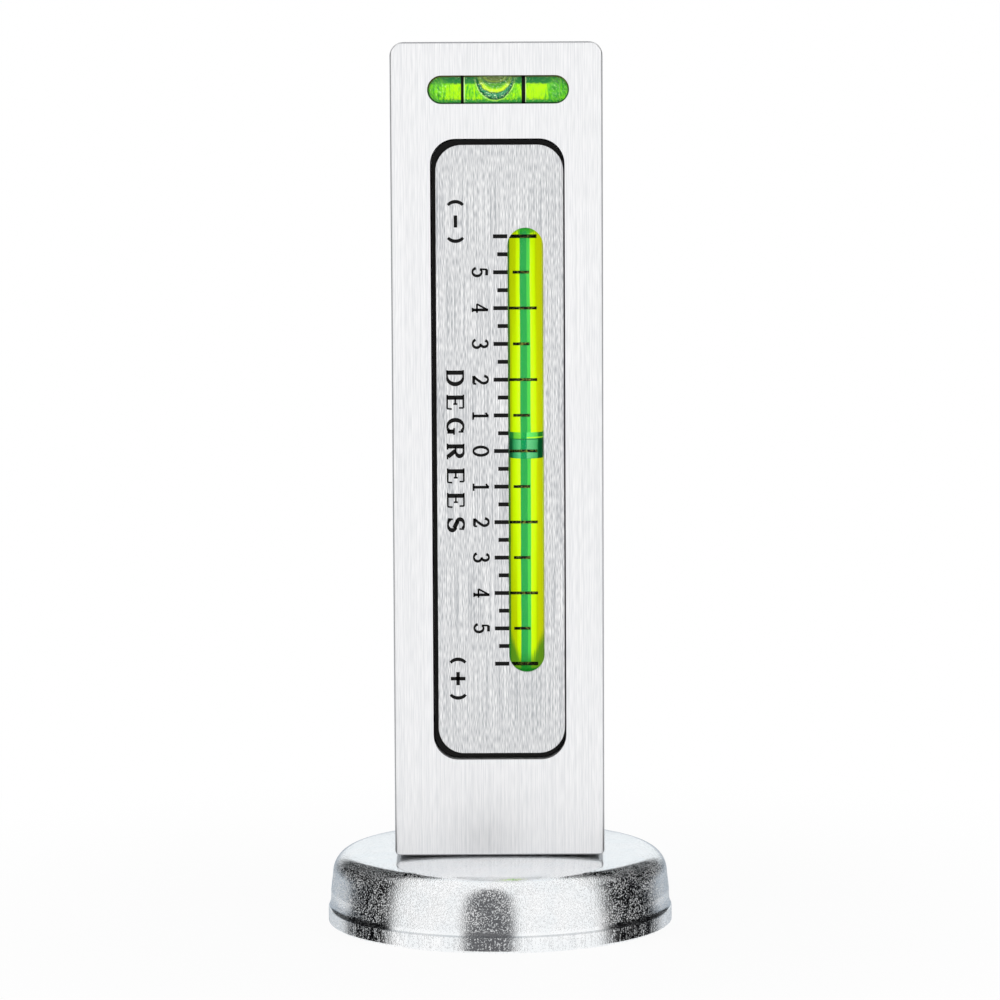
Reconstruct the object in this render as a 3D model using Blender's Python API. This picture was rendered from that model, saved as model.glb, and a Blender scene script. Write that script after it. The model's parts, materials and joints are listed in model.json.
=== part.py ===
"""Camber gauge: an aluminium bar that holds two bubble vials, standing on a round magnetic base.

Run it with blender --background --python part.py, or from Blender's text editor. Units are metres and +Z is
up. The origin is the centre of the base's foot, the scale faces -Y, and +X is to the right of its reader.
The camber vial is bent to an arch about a far centre behind the bar, so its bubble turns about that centre.
"""

from itertools import pairwise
from math import copysign, cos, pi, radians, sin, sqrt, tan

import bmesh
import bpy

# Clearances that neighbouring pieces share
SEAT_GAP = 0.0003
FIT_GAP = 0.0002
CUT_OVERRUN = 0.001
MERGE_DISTANCE = 0.000001

# Bar: a length of aluminium, milled for the two vials and drilled for the base screw
BAR_WIDTH = 0.030
BAR_DEPTH = 0.020
BAR_HEIGHT = 0.1158
BAR_CORNER_RADIUS = 0.0016
BAR_EDGE_RADIUS = 0.0005

# Pocket in the bar for the camber vial's carrier; its depth follows what it holds
POCKET_OFFSET = 0.0001
POCKET_WIDTH = 0.0190
POCKET_FOOT_MARGIN = 0.0137
POCKET_HEAD_MARGIN = 0.0136
POCKET_CORNER_RADIUS = 0.0036

# Scale plate, with a window for the camber vial
PLATE_RECESS = 0.0004
PLATE_THICKNESS = 0.0005
PLATE_LEFT_REVEAL = 0.00074
PLATE_RIGHT_REVEAL = 0.0002
PLATE_END_REVEAL = 0.00087
PLATE_CORNER_RADIUS = 0.0037
PLATE_END_LAND = 0.0117
WINDOW_WIDTH = 0.00505
FILM_THICKNESS = 0.0002
FILM_EDGE_INSET = 0.0006

# Camber vial: a straight tube bent to the arch, closed by a plug at each end
ARCH_RADIUS = 0.291
VIAL_OFFSET = 0.0040
CAMBER_TUBE_RADIUS = 0.0025
CAMBER_TUBE_WALL = 0.0007
CAMBER_PLUG_HEAD = 0.0008
CAMBER_PLUG_HEAD_INSET = 0.0002
CAMBER_PLUG_SPIGOT = 0.0030
CAMBER_BUBBLE_LENGTH = 0.0038
CAMBER_BUBBLE_RADIUS = 0.00125
CAMBER_BUBBLE_RISE = 0.0007
CAMBER_BUBBLE_FULLNESS = 3.0

# White reflector behind the camber vial, and the moulded carrier that holds both
REFLECTOR_THICKNESS = 0.0004
CARRIER_END_WALL = 0.0054
CARRIER_FLOOR = 0.0012
CARRIER_SKIN = 0.0015
CARRIER_CORE_COUNT = 7

# Cross vial: a capsule with a barrel-shaped chamber and a plug in its right-hand end
CROSS_SLOT_OFFSET = 0.00027
CROSS_SLOT_WIDTH = 0.0200
CROSS_SLOT_HEIGHT = 0.0040
CROSS_SLOT_DROP = 0.00672
CROSS_FIT_GAP = 0.00015
CROSS_RECESS = 0.00015
CROSS_END_WALL = 0.0019
CROSS_PLUG_LENGTH = 0.0032
CROSS_PLUG_HEAD = 0.0012
CROSS_MOUTH_STEP = 0.0002
CROSS_CHAMBER_RADIUS = 0.00135
CROSS_BARREL_RADIUS = 0.080
CROSS_BUBBLE_LENGTH = 0.00567
CROSS_BUBBLE_RADIUS = 0.00085
CROSS_BUBBLE_REST = 0.0002
CROSS_BUBBLE_FULLNESS = 2.0
CROSS_BED_THICKNESS = 0.0005
CROSS_BED_LIP = 0.0007

# Base cup: a pressed steel shell, open below, that carries the bar on a flat seat in its low dome
CUP_HEIGHT = 0.0111
CUP_WALL = 0.0020
CUP_SEAT_RADIUS = 0.0095
CUP_DOME_DROP = 0.0006
CUP_SHOULDER_RADIUS = 0.0033
CUP_SKIRT_TOP_RADIUS = 0.0243
CUP_SKIRT_LEAN = 0.0003
CUP_FLARE_HEIGHT = 0.0048
CUP_FLARE_REACH = 0.0003
CUP_RIM_HEIGHT = 0.0022
CUP_RIM_STEP = 0.0001
CUP_CREASE = 0.00025
CUP_RIM_CHAMFER = 0.0003

# Magnet system inside the cup
MAGNET_RECESS = 0.0005
MAGNET_CHAMFER = 0.0006
POTTING_WIDTH = 0.0009
POTTING_RECESS = 0.0009
POLE_RADIUS = 0.0085
POLE_RECESS = 0.0003
POLE_CHAMFER = 0.0004

# Base screw: countersunk, M6 by 16, with a hexagon socket
SCREW_RADIUS = 0.0030
SCREW_LENGTH = 0.0160
SCREW_HEAD_RADIUS = 0.0060
SCREW_HEAD_RIM = 0.0003
SCREW_HEAD_SINK = 0.0005
SCREW_SOCKET_FLATS = 0.0040
SCREW_SOCKET_DEPTH = 0.0023
SCREW_TIP_CHAMFER = 0.0006
SCREW_HOLE_SPARE = 0.0015
DRILL_POINT_ANGLE = 118

# Facets of the round pieces
CUP_SIDES = 64
RING_SIDES = 48
POLE_SIDES = 32
SCREW_SIDES = 24
VIAL_SIDES = 20
BUBBLE_SIDES = 16
CORNER_STEPS = 6
EDGE_STEPS = 2
ARCH_STEPS = 12
BARREL_STEPS = 8
BUBBLE_STEPS = 10
CREASE_ANGLE = 35

# Heights worked out from the base upwards
BAR_FOOT = CUP_HEIGHT + SEAT_GAP
BAR_TOP = BAR_FOOT + BAR_HEIGHT
BAR_FRONT = -BAR_DEPTH / 2
POCKET_HEIGHT = BAR_HEIGHT - POCKET_FOOT_MARGIN - POCKET_HEAD_MARGIN
SCALE_ZERO = BAR_FOOT + POCKET_FOOT_MARGIN + POCKET_HEIGHT / 2

# Plate and film, from the bar's front face inwards
PLATE_WIDTH = POCKET_WIDTH - PLATE_LEFT_REVEAL - PLATE_RIGHT_REVEAL
PLATE_HEIGHT = POCKET_HEIGHT - 2 * PLATE_END_REVEAL
PLATE_OFFSET = POCKET_OFFSET + (PLATE_LEFT_REVEAL - PLATE_RIGHT_REVEAL) / 2
WINDOW_HEIGHT = PLATE_HEIGHT - 2 * PLATE_END_LAND
PLATE_FRONT = BAR_FRONT + PLATE_RECESS
PLATE_BACK = PLATE_FRONT + PLATE_THICKNESS
FILM_FRONT = PLATE_BACK + FIT_GAP
FILM_BACK = FILM_FRONT + FILM_THICKNESS
CARRIER_FRONT = FILM_BACK + FIT_GAP

# Camber vial, carrier and pocket floor, from the vial's crown inwards
CARRIER_WIDTH = POCKET_WIDTH - 2 * FIT_GAP
CARRIER_HEIGHT = POCKET_HEIGHT - 2 * FIT_GAP
CAMBER_BORE_RADIUS = CAMBER_TUBE_RADIUS - CAMBER_TUBE_WALL
CAMBER_AXIS_DEPTH = PLATE_BACK + FIT_GAP + CAMBER_TUBE_RADIUS
REFLECTOR_BORE = CAMBER_TUBE_RADIUS + FIT_GAP
TROUGH_RADIUS = REFLECTOR_BORE + REFLECTOR_THICKNESS + FIT_GAP
TROUGH_HALF = CARRIER_HEIGHT / 2 - CARRIER_END_WALL
CAMBER_TUBE_HALF = TROUGH_HALF - SEAT_GAP - CAMBER_PLUG_HEAD - FIT_GAP
ARCH_CENTRE = (VIAL_OFFSET, CAMBER_AXIS_DEPTH + ARCH_RADIUS, SCALE_ZERO)
TROUGH_END_DEPTH = CAMBER_AXIS_DEPTH + ARCH_RADIUS * (1 - cos(TROUGH_HALF / ARCH_RADIUS)) + TROUGH_RADIUS
CARRIER_BACK = TROUGH_END_DEPTH + CARRIER_FLOOR
POCKET_FLOOR = CARRIER_BACK + SEAT_GAP

# Cross vial and its slot, from the bar's front face inwards
CROSS_TUBE_RADIUS = CROSS_SLOT_HEIGHT / 2 - CROSS_FIT_GAP
CROSS_TUBE_HALF = CROSS_SLOT_WIDTH / 2 - CROSS_FIT_GAP
CROSS_AXIS_DEPTH = BAR_FRONT + CROSS_RECESS + CROSS_TUBE_RADIUS
CROSS_AXIS_HEIGHT = BAR_TOP - CROSS_SLOT_DROP
CROSS_CENTRE = (CROSS_SLOT_OFFSET, CROSS_AXIS_DEPTH, CROSS_AXIS_HEIGHT)
CROSS_TUBE_BACK = CROSS_AXIS_DEPTH + CROSS_TUBE_RADIUS
CROSS_BED_BACK = CROSS_TUBE_BACK + FIT_GAP + CROSS_BED_THICKNESS
CROSS_SLOT_FLOOR = CROSS_BED_BACK + FIT_GAP
CHAMBER_LEFT = -CROSS_TUBE_HALF + CROSS_END_WALL
CHAMBER_RIGHT = CROSS_TUBE_HALF - CROSS_PLUG_LENGTH
CHAMBER_HALF = (CHAMBER_RIGHT - CHAMBER_LEFT) / 2
CHAMBER_MIDDLE = (CHAMBER_RIGHT + CHAMBER_LEFT) / 2

# Cup and magnet system, from the skirt inwards
CUP_RIM_RADIUS = CUP_SKIRT_TOP_RADIUS + CUP_SKIRT_LEAN + CUP_FLARE_REACH + CUP_RIM_STEP
CUP_BORE_RADIUS = CUP_SKIRT_TOP_RADIUS - CUP_WALL
CUP_DOME_RADIUS = CUP_SKIRT_TOP_RADIUS - CUP_SHOULDER_RADIUS
CUP_SHOULDER_HEIGHT = CUP_HEIGHT - CUP_DOME_DROP - CUP_SHOULDER_RADIUS
CUP_HOLE_RADIUS = SCREW_RADIUS + SEAT_GAP
MAGNET_TOP = CUP_HEIGHT - CUP_DOME_DROP - CUP_WALL - SEAT_GAP
MAGNET_OUTER_RADIUS = CUP_BORE_RADIUS - 2 * SEAT_GAP - POTTING_WIDTH
MAGNET_INNER_RADIUS = POLE_RADIUS + 2 * SEAT_GAP + POTTING_WIDTH
POLE_TOP = CUP_HEIGHT - CUP_WALL - SEAT_GAP
SCREW_FOOT = POLE_RECESS + SCREW_HEAD_SINK
SCREW_CONE_FOOT = SCREW_FOOT + SCREW_HEAD_RIM
SCREW_TIP = SCREW_FOOT + SCREW_LENGTH


def arc(centre, radius, start, end, steps):
    """List the points of an arc, from one angle in degrees to another."""
    turns = [radians(start + (end - start) * step / steps) for step in range(steps + 1)]
    return [(centre[0] + radius * cos(turn), centre[1] + radius * sin(turn)) for turn in turns]


def rounded_outline(width, height, radius):
    """List the points of a rounded rectangle about its centre, anticlockwise."""
    points = []
    for quarter, (side, end) in enumerate(((1, 1), (-1, 1), (-1, -1), (1, -1))):
        centre = (side * (width / 2 - radius), end * (height / 2 - radius))
        points += arc(centre, radius, quarter * 90, quarter * 90 + 90, CORNER_STEPS)
    return points


def stations(half_length):
    """List the places along the arch where a bent piece has a section."""
    return [half_length * (2 * step / ARCH_STEPS - 1) for step in range(ARCH_STEPS + 1)]


def bubble_profile(length, radius, fullness):
    """List the (radius, along) points of a bubble; more fullness gives it flatter ends."""
    points = [(0, -length / 2)]
    for step in range(1, BUBBLE_STEPS):
        turn = pi * step / BUBBLE_STEPS
        along = copysign(abs(cos(turn)) ** (2 / fullness), -cos(turn))
        points.append((radius * sin(turn) ** (2 / fullness), along * length / 2))
    return points + [(0, length / 2)]


def closed(shape):
    """Weld a shape's coinciding points and turn its faces outward."""
    bmesh.ops.remove_doubles(shape, verts=shape.verts, dist=MERGE_DISTANCE)
    bmesh.ops.recalc_face_normals(shape, faces=shape.faces)
    return shape


def swept(outline, places):
    """Extrude an outline of (across, deep) points along Z, with a section at each place, and cap its ends."""
    shape = bmesh.new()
    points = [shape.verts.new((across, deep, places[0])) for across, deep in outline]
    ring = [shape.edges.new(pair) for pair in pairwise(points + points[:1])]
    for lower, upper in pairwise(places):
        made = bmesh.ops.extrude_edge_only(shape, edges=ring)["geom"]
        ends = {item for item in made if isinstance(item, bmesh.types.BMVert)}
        bmesh.ops.translate(shape, verts=list(ends), vec=(0, 0, upper - lower))
        ring = [edge for edge in shape.edges if ends.issuperset(edge.verts)]
    bmesh.ops.remove_doubles(shape, verts=shape.verts, dist=MERGE_DISTANCE)
    bmesh.ops.holes_fill(shape, edges=shape.edges, sides=0)
    return closed(shape)


def extruded(outline, front, back):
    """Extrude an outline of (across, up) points along Y, from its front to its back."""
    shape = swept([(across, -up) for across, up in outline], (front, back))
    for vertex in shape.verts:
        across, down, deep = vertex.co
        vertex.co = (across, deep, -down)
    return closed(shape)


def turned(profile, sides):
    """Spin a profile of (radius, height) points about Z; one that leaves the axis is joined into a ring."""
    shape = bmesh.new()
    points = [shape.verts.new((radius, 0, height)) for radius, height in profile]
    edges = [shape.edges.new(pair) for pair in pairwise(points)]
    if profile[0][0] > 0:
        edges.append(shape.edges.new((points[-1], points[0])))
    bmesh.ops.spin(
        shape, geom=points + edges, axis=(0, 0, 1), cent=(0, 0, 0), angle=2 * pi, steps=sides, use_merge=True
    )
    return closed(shape)


def arched(shape, deep=0):
    """Bend a shape that lies along Z so that it follows the camber vial's arch, about the arch's centre."""
    for vertex in shape.verts:
        turn = vertex.co.z / ARCH_RADIUS
        reach = ARCH_RADIUS - vertex.co.y - deep
        vertex.co = (vertex.co.x, -reach * cos(turn), reach * sin(turn))
    return shape


def laid_across(shape, along=0, up=0):
    """Lay a shape that stands along Z down along X, as the cross vial lies, shifted along and up."""
    for vertex in shape.verts:
        across, deep, length = vertex.co
        vertex.co = (length + along, deep, up - across)
    return shape


def finish_material(name, colour, roughness, metallic=0.0, alpha=1.0):
    """Make a plain material in the real piece's colour."""
    material = bpy.data.materials.new(name)
    material.use_nodes = True
    shader = material.node_tree.nodes["Principled BSDF"]
    shader.inputs["Base Color"].default_value = (*colour, 1.0)
    shader.inputs["Roughness"].default_value = roughness
    shader.inputs["Metallic"].default_value = metallic
    shader.inputs["Alpha"].default_value = alpha
    return material


def piece(name, shape, material, place=(0, 0, 0)):
    """Add a shape to the scene as a named piece, smooth across its gentle edges."""
    mesh = bpy.data.meshes.new(name)
    shape.to_mesh(mesh)
    shape.free()
    mesh.materials.append(material)
    mesh.shade_smooth()
    mesh.set_sharp_from_angle(angle=radians(CREASE_ANGLE))
    made = bpy.data.objects.new(name, mesh)
    made.location = place
    bpy.context.scene.collection.objects.link(made)
    return made


def cut(body, name, shape, place=(0, 0, 0)):
    """Cut a shape out of a piece with a hidden cutter."""
    mesh = bpy.data.meshes.new(name)
    shape.to_mesh(mesh)
    shape.free()
    cutter = bpy.data.objects.new(name, mesh)
    cutter.location = place
    cutter.hide_render = True
    cutter.display_type = "WIRE"
    bpy.context.scene.collection.objects.link(cutter)
    boolean = body.modifiers.new(name, "BOOLEAN")
    boolean.operation = "DIFFERENCE"
    boolean.solver = "EXACT"
    boolean.object = cutter


def build_bar(material):
    """Model the bar: rounded ends, softened edges, the two milled recesses and the screw hole."""
    outline = rounded_outline(BAR_WIDTH, BAR_HEIGHT, BAR_CORNER_RADIUS)
    block = extruded(outline, -BAR_DEPTH / 2, BAR_DEPTH / 2)
    rims = [edge for edge in block.edges if abs(edge.verts[0].co.y - edge.verts[1].co.y) < MERGE_DISTANCE]
    bmesh.ops.bevel(
        block,
        geom=rims,
        offset=BAR_EDGE_RADIUS,
        offset_type="OFFSET",
        segments=EDGE_STEPS,
        profile=0.5,
        affect="EDGES",
    )
    bar = piece("bar_body", closed(block), material, (0, 0, BAR_FOOT + BAR_HEIGHT / 2))

    pocket = rounded_outline(POCKET_WIDTH, POCKET_HEIGHT, POCKET_CORNER_RADIUS)
    pocket_shape = extruded(pocket, BAR_FRONT - CUT_OVERRUN, POCKET_FLOOR)
    cut(bar, "carrier_pocket_cut", pocket_shape, (POCKET_OFFSET, 0, SCALE_ZERO))

    slot = rounded_outline(CROSS_SLOT_WIDTH, CROSS_SLOT_HEIGHT, CROSS_SLOT_HEIGHT / 2)
    slot_shape = extruded(slot, BAR_FRONT - CUT_OVERRUN, CROSS_SLOT_FLOOR)
    cut(bar, "cross_slot_cut", slot_shape, (CROSS_SLOT_OFFSET, 0, CROSS_AXIS_HEIGHT))

    hole_top = SCREW_TIP + SCREW_HOLE_SPARE
    point_top = hole_top + CUP_HOLE_RADIUS / tan(radians(DRILL_POINT_ANGLE / 2))
    drilled = [
        (0, BAR_FOOT - CUT_OVERRUN),
        (CUP_HOLE_RADIUS, BAR_FOOT - CUT_OVERRUN),
        (CUP_HOLE_RADIUS, hole_top),
        (0, point_top),
    ]
    cut(bar, "screw_hole_cut", turned(drilled, SCREW_SIDES))


def build_plate(plate_material, film_material):
    """Model the scale plate and the adhesive film behind it, each with its window."""
    outline = rounded_outline(PLATE_WIDTH, PLATE_HEIGHT, PLATE_CORNER_RADIUS)
    plate = piece(
        "scale_plate", extruded(outline, PLATE_FRONT, PLATE_BACK), plate_material, (PLATE_OFFSET, 0, SCALE_ZERO)
    )
    window = rounded_outline(WINDOW_WIDTH, WINDOW_HEIGHT, WINDOW_WIDTH / 2)
    window_shape = extruded(window, PLATE_FRONT - CUT_OVERRUN, PLATE_BACK + CUT_OVERRUN)
    cut(plate, "window_cut", window_shape, (VIAL_OFFSET, 0, SCALE_ZERO))

    film_outline = rounded_outline(
        PLATE_WIDTH - 2 * FILM_EDGE_INSET,
        PLATE_HEIGHT - 2 * FILM_EDGE_INSET,
        PLATE_CORNER_RADIUS - FILM_EDGE_INSET,
    )
    film_shape = extruded(film_outline, FILM_FRONT, FILM_BACK)
    film = piece("plate_adhesive", film_shape, film_material, (PLATE_OFFSET, 0, SCALE_ZERO))
    opening = rounded_outline(2 * TROUGH_RADIUS, 2 * TROUGH_HALF, TROUGH_RADIUS / 2)
    opening_shape = extruded(opening, FILM_FRONT - CUT_OVERRUN, FILM_BACK + CUT_OVERRUN)
    cut(film, "film_window_cut", opening_shape, (VIAL_OFFSET, 0, SCALE_ZERO))


def build_carrier(carrier_material, reflector_material):
    """Model the moulded carrier, with its arched trough and cored back, and the reflector in the trough."""
    outline = rounded_outline(CARRIER_WIDTH, CARRIER_HEIGHT, POCKET_CORNER_RADIUS - FIT_GAP)
    carrier_shape = extruded(outline, CARRIER_FRONT, CARRIER_BACK)
    carrier = piece("vial_carrier", carrier_shape, carrier_material, (POCKET_OFFSET, 0, SCALE_ZERO))

    mouth = CARRIER_BACK - CARRIER_FRONT + CUT_OVERRUN
    trough = arc((0, 0), TROUGH_RADIUS, 0, 180, VIAL_SIDES // 2)
    trough += [(-TROUGH_RADIUS, -mouth), (TROUGH_RADIUS, -mouth)]
    cut(carrier, "trough_cut", arched(swept(trough, stations(TROUGH_HALF))), ARCH_CENTRE)

    left_wall = POCKET_OFFSET - CARRIER_WIDTH / 2 + CARRIER_SKIN
    right_wall = VIAL_OFFSET - TROUGH_RADIUS - CARRIER_SKIN
    pitch = (CARRIER_HEIGHT - CARRIER_SKIN) / CARRIER_CORE_COUNT
    core = rounded_outline(right_wall - left_wall, pitch - CARRIER_SKIN, CARRIER_SKIN)
    for number in range(CARRIER_CORE_COUNT):
        rise = (number - (CARRIER_CORE_COUNT - 1) / 2) * pitch
        core_shape = extruded(core, CARRIER_FRONT + CARRIER_SKIN, CARRIER_BACK + CUT_OVERRUN)
        place = ((left_wall + right_wall) / 2, 0, SCALE_ZERO + rise)
        cut(carrier, f"carrier_core_cut_{number + 1}", core_shape, place)

    inner = arc((0, 0), REFLECTOR_BORE, 180, 0, VIAL_SIDES // 2)
    outer = arc((0, 0), REFLECTOR_BORE + REFLECTOR_THICKNESS, 0, 180, VIAL_SIDES // 2)
    reflector = arched(swept(outer + inner, stations(CAMBER_TUBE_HALF)))
    piece("vial_reflector", reflector, reflector_material, ARCH_CENTRE)


def build_camber_vial(tube_material, plug_material, fluid_material, bubble_material):
    """Model the bent tube, its two plugs, the fluid with the bubble's pocket, and the bubble."""
    places = stations(CAMBER_TUBE_HALF)
    wall = [(CAMBER_TUBE_RADIUS, place) for place in places]
    wall += [(CAMBER_BORE_RADIUS, place) for place in reversed(places)]
    piece("camber_vial_tube", arched(turned(wall, VIAL_SIDES)), tube_material, ARCH_CENTRE)

    spigot_end = CAMBER_TUBE_HALF - CAMBER_PLUG_SPIGOT
    shoulder = CAMBER_TUBE_HALF + FIT_GAP
    spigot_radius = CAMBER_BORE_RADIUS - FIT_GAP
    head_radius = CAMBER_TUBE_RADIUS - CAMBER_PLUG_HEAD_INSET
    for name, end in (("camber_vial_plug_top", 1), ("camber_vial_plug_bottom", -1)):
        plug = [
            (0, end * spigot_end),
            (spigot_radius, end * spigot_end),
            (spigot_radius, end * shoulder),
            (head_radius, end * shoulder),
            (head_radius, end * (shoulder + CAMBER_PLUG_HEAD)),
            (0, end * (shoulder + CAMBER_PLUG_HEAD)),
        ]
        piece(name, arched(turned(plug, VIAL_SIDES)), plug_material, ARCH_CENTRE)

    fluid_radius = CAMBER_BORE_RADIUS - FIT_GAP
    column = [(fluid_radius, place) for place in stations(spigot_end - FIT_GAP)]
    column = [(0, column[0][1])] + column + [(0, column[-1][1])]
    fluid = piece("camber_vial_fluid", arched(turned(column, VIAL_SIDES)), fluid_material, ARCH_CENTRE)

    lift = fluid_radius - CAMBER_BUBBLE_RADIUS
    for grown in (FIT_GAP, 0):
        profile = bubble_profile(
            CAMBER_BUBBLE_LENGTH + 2 * grown, CAMBER_BUBBLE_RADIUS + grown, CAMBER_BUBBLE_FULLNESS
        )
        shape = turned([(radius, along + CAMBER_BUBBLE_RISE) for radius, along in profile], BUBBLE_SIDES)
        bent = arched(shape, -lift)
        if grown:
            cut(fluid, "camber_bubble_pocket_cut", bent, ARCH_CENTRE)
        else:
            piece("camber_bubble", bent, bubble_material, ARCH_CENTRE)


def chamber_radius(along):
    """Give the cross vial's inner radius at a distance from the middle of its chamber."""
    return CROSS_CHAMBER_RADIUS - CROSS_BARREL_RADIUS + sqrt(CROSS_BARREL_RADIUS**2 - along**2)


def chamber_profile(inset):
    """List the points of the cross vial's barrel chamber, drawn in by an inset."""
    half = CHAMBER_HALF - inset
    places = [half * (2 * step / BARREL_STEPS - 1) for step in range(BARREL_STEPS + 1)]
    return [(chamber_radius(place) - inset, CHAMBER_MIDDLE + place) for place in places]


def build_cross_vial(tube_material, plug_material, fluid_material, bubble_material, bed_material):
    """Model the capsule with its barrel chamber, its plug, fluid and bubble, and the bed behind it."""
    cap_centre = CROSS_TUBE_HALF - CROSS_TUBE_RADIUS
    plug_face = CROSS_TUBE_HALF - CROSS_PLUG_HEAD
    plug_face_radius = sqrt(CROSS_TUBE_RADIUS**2 - (plug_face - cap_centre) ** 2)
    head_face = plug_face + FIT_GAP
    head_face_radius = sqrt(CROSS_TUBE_RADIUS**2 - (head_face - cap_centre) ** 2)
    chamber = chamber_profile(0)
    mouth_radius = chamber[-1][0] + CROSS_MOUTH_STEP
    left_cap = arc((0, -cap_centre), CROSS_TUBE_RADIUS, -90, 0, CORNER_STEPS)
    tube = [(0, -CROSS_TUBE_HALF)] + left_cap[1:]
    tube += [(CROSS_TUBE_RADIUS, cap_centre), (plug_face_radius, plug_face), (mouth_radius, plug_face)]
    tube += [(mouth_radius, CHAMBER_RIGHT)] + list(reversed(chamber)) + [(0, CHAMBER_LEFT)]
    piece("cross_vial_tube", laid_across(turned(tube, VIAL_SIDES)), tube_material, CROSS_CENTRE)

    spigot_radius = mouth_radius - FIT_GAP
    head_start = (head_face - cap_centre) / CROSS_TUBE_RADIUS
    plug = [
        (0, CHAMBER_RIGHT),
        (spigot_radius, CHAMBER_RIGHT),
        (spigot_radius, head_face),
        (head_face_radius, head_face),
    ]
    for step in range(1, CORNER_STEPS):
        rise = head_start + (1 - head_start) * step / CORNER_STEPS
        plug.append((CROSS_TUBE_RADIUS * sqrt(1 - rise**2), cap_centre + CROSS_TUBE_RADIUS * rise))
    plug.append((0, CROSS_TUBE_HALF))
    piece("cross_vial_plug", laid_across(turned(plug, VIAL_SIDES)), plug_material, CROSS_CENTRE)

    body = chamber_profile(FIT_GAP)
    body = [(0, body[0][1])] + body + [(0, body[-1][1])]
    fluid = piece("cross_vial_fluid", laid_across(turned(body, VIAL_SIDES)), fluid_material, CROSS_CENTRE)

    bubble_along = CHAMBER_MIDDLE + CROSS_BUBBLE_REST
    lift = CROSS_CHAMBER_RADIUS - FIT_GAP - CROSS_BUBBLE_RADIUS
    pocket = bubble_profile(
        CROSS_BUBBLE_LENGTH + 2 * FIT_GAP, CROSS_BUBBLE_RADIUS + FIT_GAP, CROSS_BUBBLE_FULLNESS
    )
    pocket_shape = laid_across(turned(pocket, BUBBLE_SIDES), bubble_along, lift)
    cut(fluid, "cross_bubble_pocket_cut", pocket_shape, CROSS_CENTRE)
    bubble = bubble_profile(CROSS_BUBBLE_LENGTH, CROSS_BUBBLE_RADIUS, CROSS_BUBBLE_FULLNESS)
    bubble_centre = (CROSS_CENTRE[0] + bubble_along, CROSS_CENTRE[1], CROSS_CENTRE[2] + lift)
    piece("cross_bubble", laid_across(turned(bubble, BUBBLE_SIDES)), bubble_material, bubble_centre)

    bed_height = CROSS_SLOT_HEIGHT - 2 * CROSS_FIT_GAP
    bed_outline = rounded_outline(CROSS_SLOT_WIDTH - 2 * CROSS_FIT_GAP, bed_height, bed_height / 2)
    bed_shape = extruded(bed_outline, CROSS_TUBE_BACK - CROSS_BED_LIP, CROSS_BED_BACK)
    bed = piece("cross_vial_bed", bed_shape, bed_material, (CROSS_SLOT_OFFSET, 0, CROSS_AXIS_HEIGHT))
    cradle_radius = CROSS_TUBE_RADIUS + FIT_GAP
    cradle = [(0, -cap_centre - cradle_radius)] + arc((0, -cap_centre), cradle_radius, -90, 0, CORNER_STEPS)[1:]
    cradle += arc((0, cap_centre), cradle_radius, 0, 90, CORNER_STEPS)[:-1] + [(0, cap_centre + cradle_radius)]
    cut(bed, "cradle_cut", laid_across(turned(cradle, VIAL_SIDES)), CROSS_CENTRE)


def cup_crown(inset):
    """List the points of the cup's top and shoulder, from its hole to its skirt, drawn in by an inset."""
    points = [(CUP_HOLE_RADIUS, CUP_HEIGHT - inset), (CUP_SEAT_RADIUS, CUP_HEIGHT - inset)]
    for step in range(1, CORNER_STEPS):
        share = step / CORNER_STEPS
        reach = CUP_SEAT_RADIUS + share * (CUP_DOME_RADIUS - CUP_SEAT_RADIUS)
        points.append((reach, CUP_HEIGHT - CUP_DOME_DROP * share**2 - inset))
    shoulder = (CUP_DOME_RADIUS, CUP_SHOULDER_HEIGHT)
    return points + arc(shoulder, CUP_SHOULDER_RADIUS - inset, 90, 0, CORNER_STEPS)


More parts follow.
